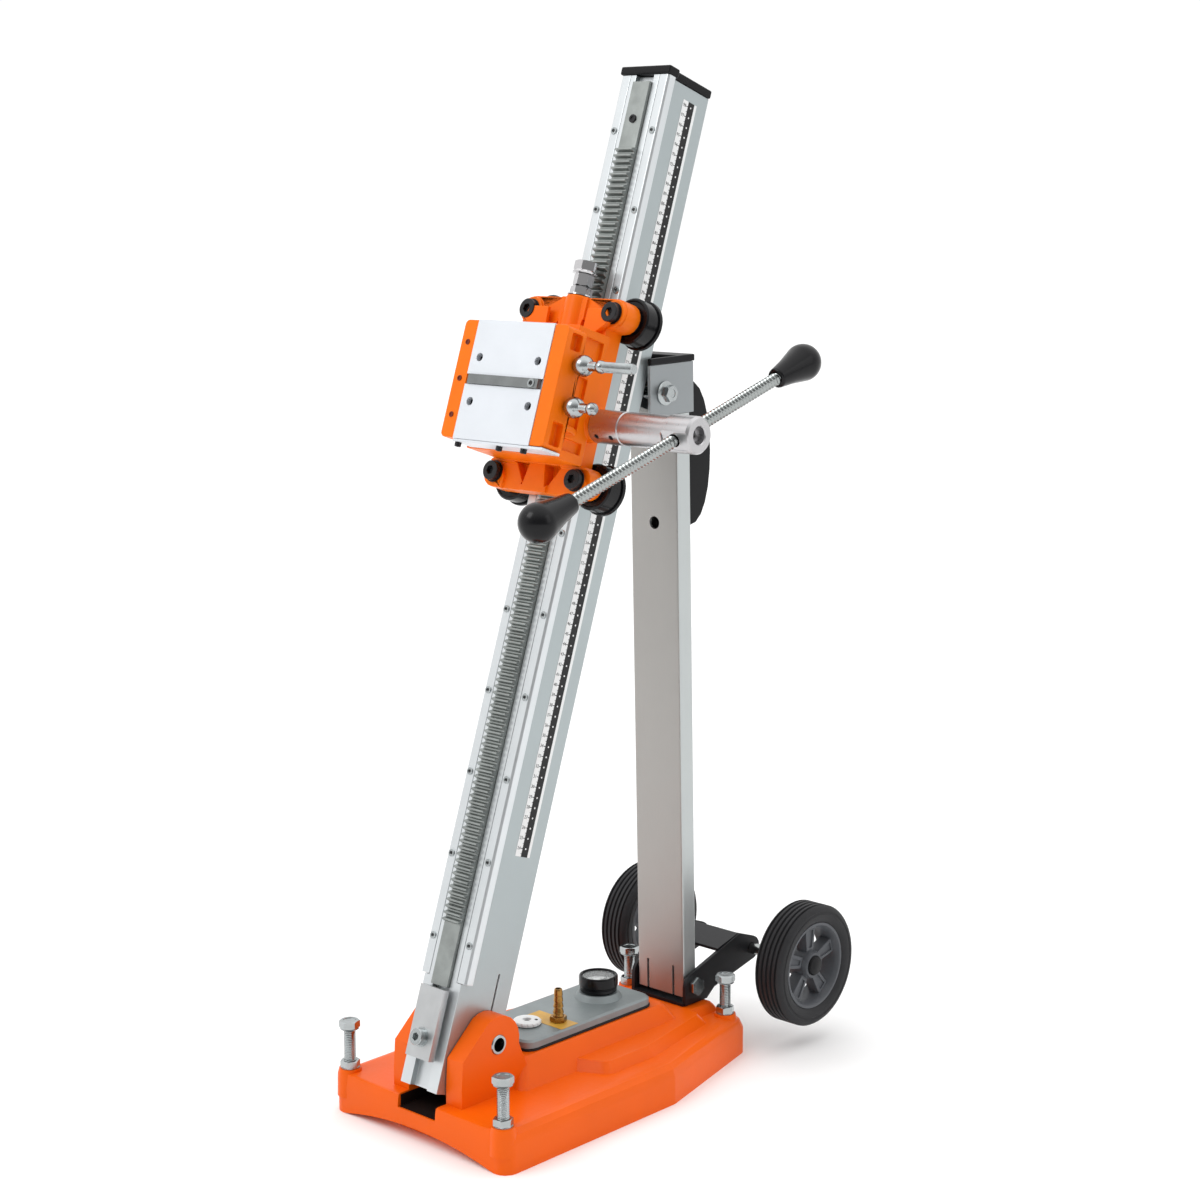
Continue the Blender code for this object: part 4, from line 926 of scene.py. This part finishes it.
def clamp_screw(level, rise, rod_end=None):
    """A screw with a large ball nut at the jaw and a small one on its neck, and perhaps a rod beyond."""
    node = "clamp_screw_" + level
    at = (0, CLAMP_DEPTH, rise)
    profile = [(0, 56), (5, 56), (5, 68.4), (6.2, 68.4)] + ball(10.2, 77, 140, 28, 10)
    profile += [(4.6, 87.5), (4.4, 92.5)] + ball(6.2, 99, 138, 30, 7) + [(2.8, 104.6), (0, 104.8)]
    shapes = [lathe("balls", profile, "X", at, 40), nut("flats", 17.4, 5, "X", 73.5, 80, at, 0.2)]
    if rod_end:
        shapes.append(threaded("rod", 5, 1.5, "X", 103, rod_end, at, 0.6, 18))
    piece = joined("clamp_bolt_" + level, shapes)
    settle(piece, CARRIAGE, body_of(node), LOOK["zinc"], [node])


def stop_bolt():
    """The depth stop's bolt with its long nut, and the lock nut and washer on the casting's boss."""
    at = (0, STOP_DEPTH, 0)
    head = hexagon("head", 21, "Z", 122, 131.8, at, 0.35)
    flange = lathe("flange", [(0, 119.6), (12.2, 119.6), (12.6, 120.8), (11.2, 122.4), (0, 122.4)],
                   "Z", at, 48)
    shank = threaded("shank", 6, 1.75, "Z", 72, 120, at, 0.7)
    sleeve = hexagon("long_nut", 17, "Z", 107.5, 119.7, at, 0.1)
    piece = joined("depth_stop_bolt", [head, flange, shank, sleeve])
    settle(piece, CARRIAGE, body_of("stop_bolt"), LOOK["chrome"], ["stop_bolt"])
    lock = nut("stop_lock_nut", 19, 6.2, "Z", 98.8, 106.6, at, 0.15)
    washer = lathe("washer", [(6.3, 97.7), (12.4, 97.7), (12.4, 98.9), (6.3, 98.9)], "Z", at, 40)
    settle(joined("stop_lock_nut", [lock, washer]), CARRIAGE, "carriage", LOOK["chrome"])


def axle_bolt(name, at):
    """A roller's cap screw in front of its arm, and the nut and washer behind."""
    head = socket_screw("head", 9.6, 6.6, "Y", -28.4, -1, at, 0.1, 40)
    key = lathe("key_hole", [(0, -38), (4.7, -38), (4.7, -31.5), (0, -31.5)], "Y", at, 6, 0.3)
    washer = lathe("washer", [(0, -28.2), (10.8, -28.2), (10.8, -29.4), (0, -29.4)], "Y", at, 40)
    shank = lathe("shank", [(0, -29), (6, -29), (6, 26), (5.2, 27), (0, 27)], "Y", at, 24)
    bolt = joined("axle_bolt_" + name, [cut(head, key), washer, shank])
    settle(bolt, CARRIAGE, "carriage", LOOK["oxide"], ["roller_bolt_" + name])
    lock = nut("axle_nut_" + name, 17, 6.1, "Y", 19.2, 25.6, at, 0.2)
    disc = lathe("disc", [(6.2, 18), (11, 18), (11, 19.3), (6.2, 19.3)], "Y", at, 36)
    settle(joined("axle_nut_" + name, [lock, disc]), CARRIAGE, "carriage", LOOK["oxide"])


def guide_wheel(name, at):
    """A roller with a flange behind the rail and ribs in its recessed back."""
    profile = [(6.3, -3.7), (12, -3.7), (13, -2.6), (19, -2.6), (20, -3.7), (21.4, -3.7), (22.7, -2.2),
               (22.7, 12.6), (24.2, 12.7), (24.5, 13.2), (24.5, 16.2), (23.4, 17.3), (20, 17.4), (19, 15.4),
               (13, 15.4), (12, 17.4), (6.3, 17.4)]
    shapes = [lathe("guide_wheel_" + name, profile, "Y", at, 56)]
    for k in range(8):
        rib = block("rib", (12.5, 14.8, -1.1), (20.2, 17.0, 1.1), 0)
        rib.data.transform(Matrix.Translation(at) @ Matrix.Rotation(2 * math.pi * k / 8, 4, "Y"))
        shapes.append(rib)
    settle(joined("guide_wheel_" + name, shapes), CARRIAGE, "roller_" + name, LOOK["gloss"],
           ["guide_roller_" + name])


def rollers():
    for level, rise in (("upper", ARM_RISE), ("lower", -ARM_RISE)):
        for word, side in (("left", -1), ("right", 1)):
            at = (side * ROLLER_X, 0, rise)
            name = "%s_%s" % (level, word)
            axle_bolt(name, at)
            guide_wheel(name, at)


# Feed handle

ROD_X = 166.0   # where the rod crosses the hub


def feed_hub():
    """The hub on the feed shaft, with two flats where the rod passes through it."""
    profile = [(0, 95), (8.4, 95), (8.4, 60.4), (15, 60.4), (16, 61.4), (16, 95.6), (15.2, 96.6),
               (15.2, 98.6), (16, 99.6), (16, 150), (17.5, 154.5), (17.5, 181.5), (15.6, 184), (9, 184),
               (8.2, 183), (7.4, 175), (0, 175)]
    hub = lathe("feed_hub", profile, "X", steps=64)
    key = lathe("key_hole", [(0, 170), (5.4, 170), (5.4, 190), (0, 190)], "X", steps=6, turn=0.3)
    crossing = lathe("crossing", [(0, -30), (6.4, -30), (6.4, 30), (0, 30)], "Y", (ROD_X, 0, 0), 32)
    flats = [block("flat", (152, side * 17.2 - 2, -20), (183, side * 17.2 + 2, 20), 0) for side in (-1, 1)]
    holes = [lathe("hole", [(0, -30), (2.6, -30), (2.6, 30), (0, 30)], "Y", (x, 0, 0), 20)
             for x in (70, 88)]
    for hole in holes:
        hole.data.transform(Matrix.Rotation(math.radians(12), 4, "X"))
    cut(hub, key, crossing, *flats, *holes)
    settle(soften(hub, 0.35, 2, 40), HANDLE, "feed_handle", LOOK["hub"],
           ["handle_hub"])


def feed_rod():
    """Two threaded arms and the plain middle between them."""
    at = (ROD_X, 0, 0)
    front = threaded("front", 6.2, 4.4, "Y", -170, -16, at, 1.5, 24)
    rear = threaded("rear", 6.2, 4.4, "Y", 16, 152, at, 1.5, 24)
    middle = lathe("middle", [(0, -20), (5.2, -20), (5.2, 20), (0, 20)], "Y", at, 24)
    settle(joined("feed_rod", [front, middle, rear]), HANDLE, "feed_handle", LOOK["steel"],
           ["handle_rod"])


def feed_knobs():
    """A necked ball at each end of the rod; profile is measured outwards from the neck's rim."""
    neck = [(0, 21), (6.3, 21), (6.3, 0), (8.2, 0), (9.4, 0.8), (9.9, 2.4), (12.4, 18)]
    profile = neck + ball(18, 43, 108, 0, 14)[:-1] + [(0, 61)]
    for word, side, start in (("front", -1, 157), ("rear", 1, 139)):
        turned = [(radius, side * (start + along)) for radius, along in profile]
        knob = lathe("ball_knob_" + word, turned, "Y", (ROD_X, 0, 0), 64)
        settle(knob, HANDLE, "feed_handle", LOOK["gloss"], ["handle_knob_" + word], 50)


LOOK = finishes()
set_camera()
set_studio()

# CAD shapes that only take rounded edges: node, finish, slot, width of the edge, segments
EASED = [
    ("base_casting", "enamel", "orange_paint", 1.8, 3),
    ("column_extrusion", "column", "anodised_aluminium", 0.6, 2),
    ("guide_rail_left", "rail", "anodised_aluminium", 0.5, 2),
    ("guide_rail_right", "rail", "anodised_aluminium", 0.5, 2),
    ("toothed_rack", "rack", "rack_steel", 0.22, 1),
    ("motor_plate", "plate", "anodised_aluminium", 0.4, 2),
    ("strut_tube", "strut", "anodised_aluminium", 0.5, 2),
    ("strut_head", "head", "anodised_aluminium", 0.5, 2),
    ("vacuum_cover", "grey_cast", "grey_casting", 1.0, 3),
    ("wheel_bracket", "black_steel", "black_steel", 0.5, 2),
    ("column_cap", "plastic", "black_plastic", 1.6, 3),
    ("strut_cap", "plastic", "black_plastic", 1.2, 3),
    ("stop_plate", "steel_plate", "bright_steel", 0.5, 2),
    ("slide_lug", "steel", "bright_steel", 0.5, 2),
    ("plate_key", "ground", "bright_steel", 0.3, 2),
    ("strut_pin", "zinc", "zinc_plate", 0.4, 2),
    ("wheel_axle", "steel", "bright_steel", 0.5, 2),
]
for node, look, slot, width, segments in EASED:
    eased(node, node + "_body", LOOK[look], width, segments)

# CAD nodes that stay as they are and take a finish
KEPT = {
    "deck_gasket": "rubber", "vacuum_seal": "rubber", "gauge_dial": "white", "gauge_needle": "ink",
    "pivot_bush_left": "bronze", "pivot_bush_right": "bronze", "shaft_bush_left": "bronze",
    "shaft_bush_right": "bronze", "pinion_shaft": "steel",
}
for node, look in KEPT.items():
    frame["nodes"][node].data.materials.clear()
    frame["nodes"][node].data.materials.append(LOOK[look])

foot_pocket()
for corner in CORNERS:
    levelling_bolt(corner)
pivot_tube()
vacuum_gauge()
hose_nipple()
vent_wheel()
wheels()
depth_scale()
rail_screws()
stop_plate_bolt()
head_fittings()
ribbed_grip()
carriage_casting()
plate_screws()
clamp_screw("upper", 18, 139.4)
clamp_screw("lower", -21.5)
stop_bolt()
rollers()
feed_hub()
feed_rod()
feed_knobs()
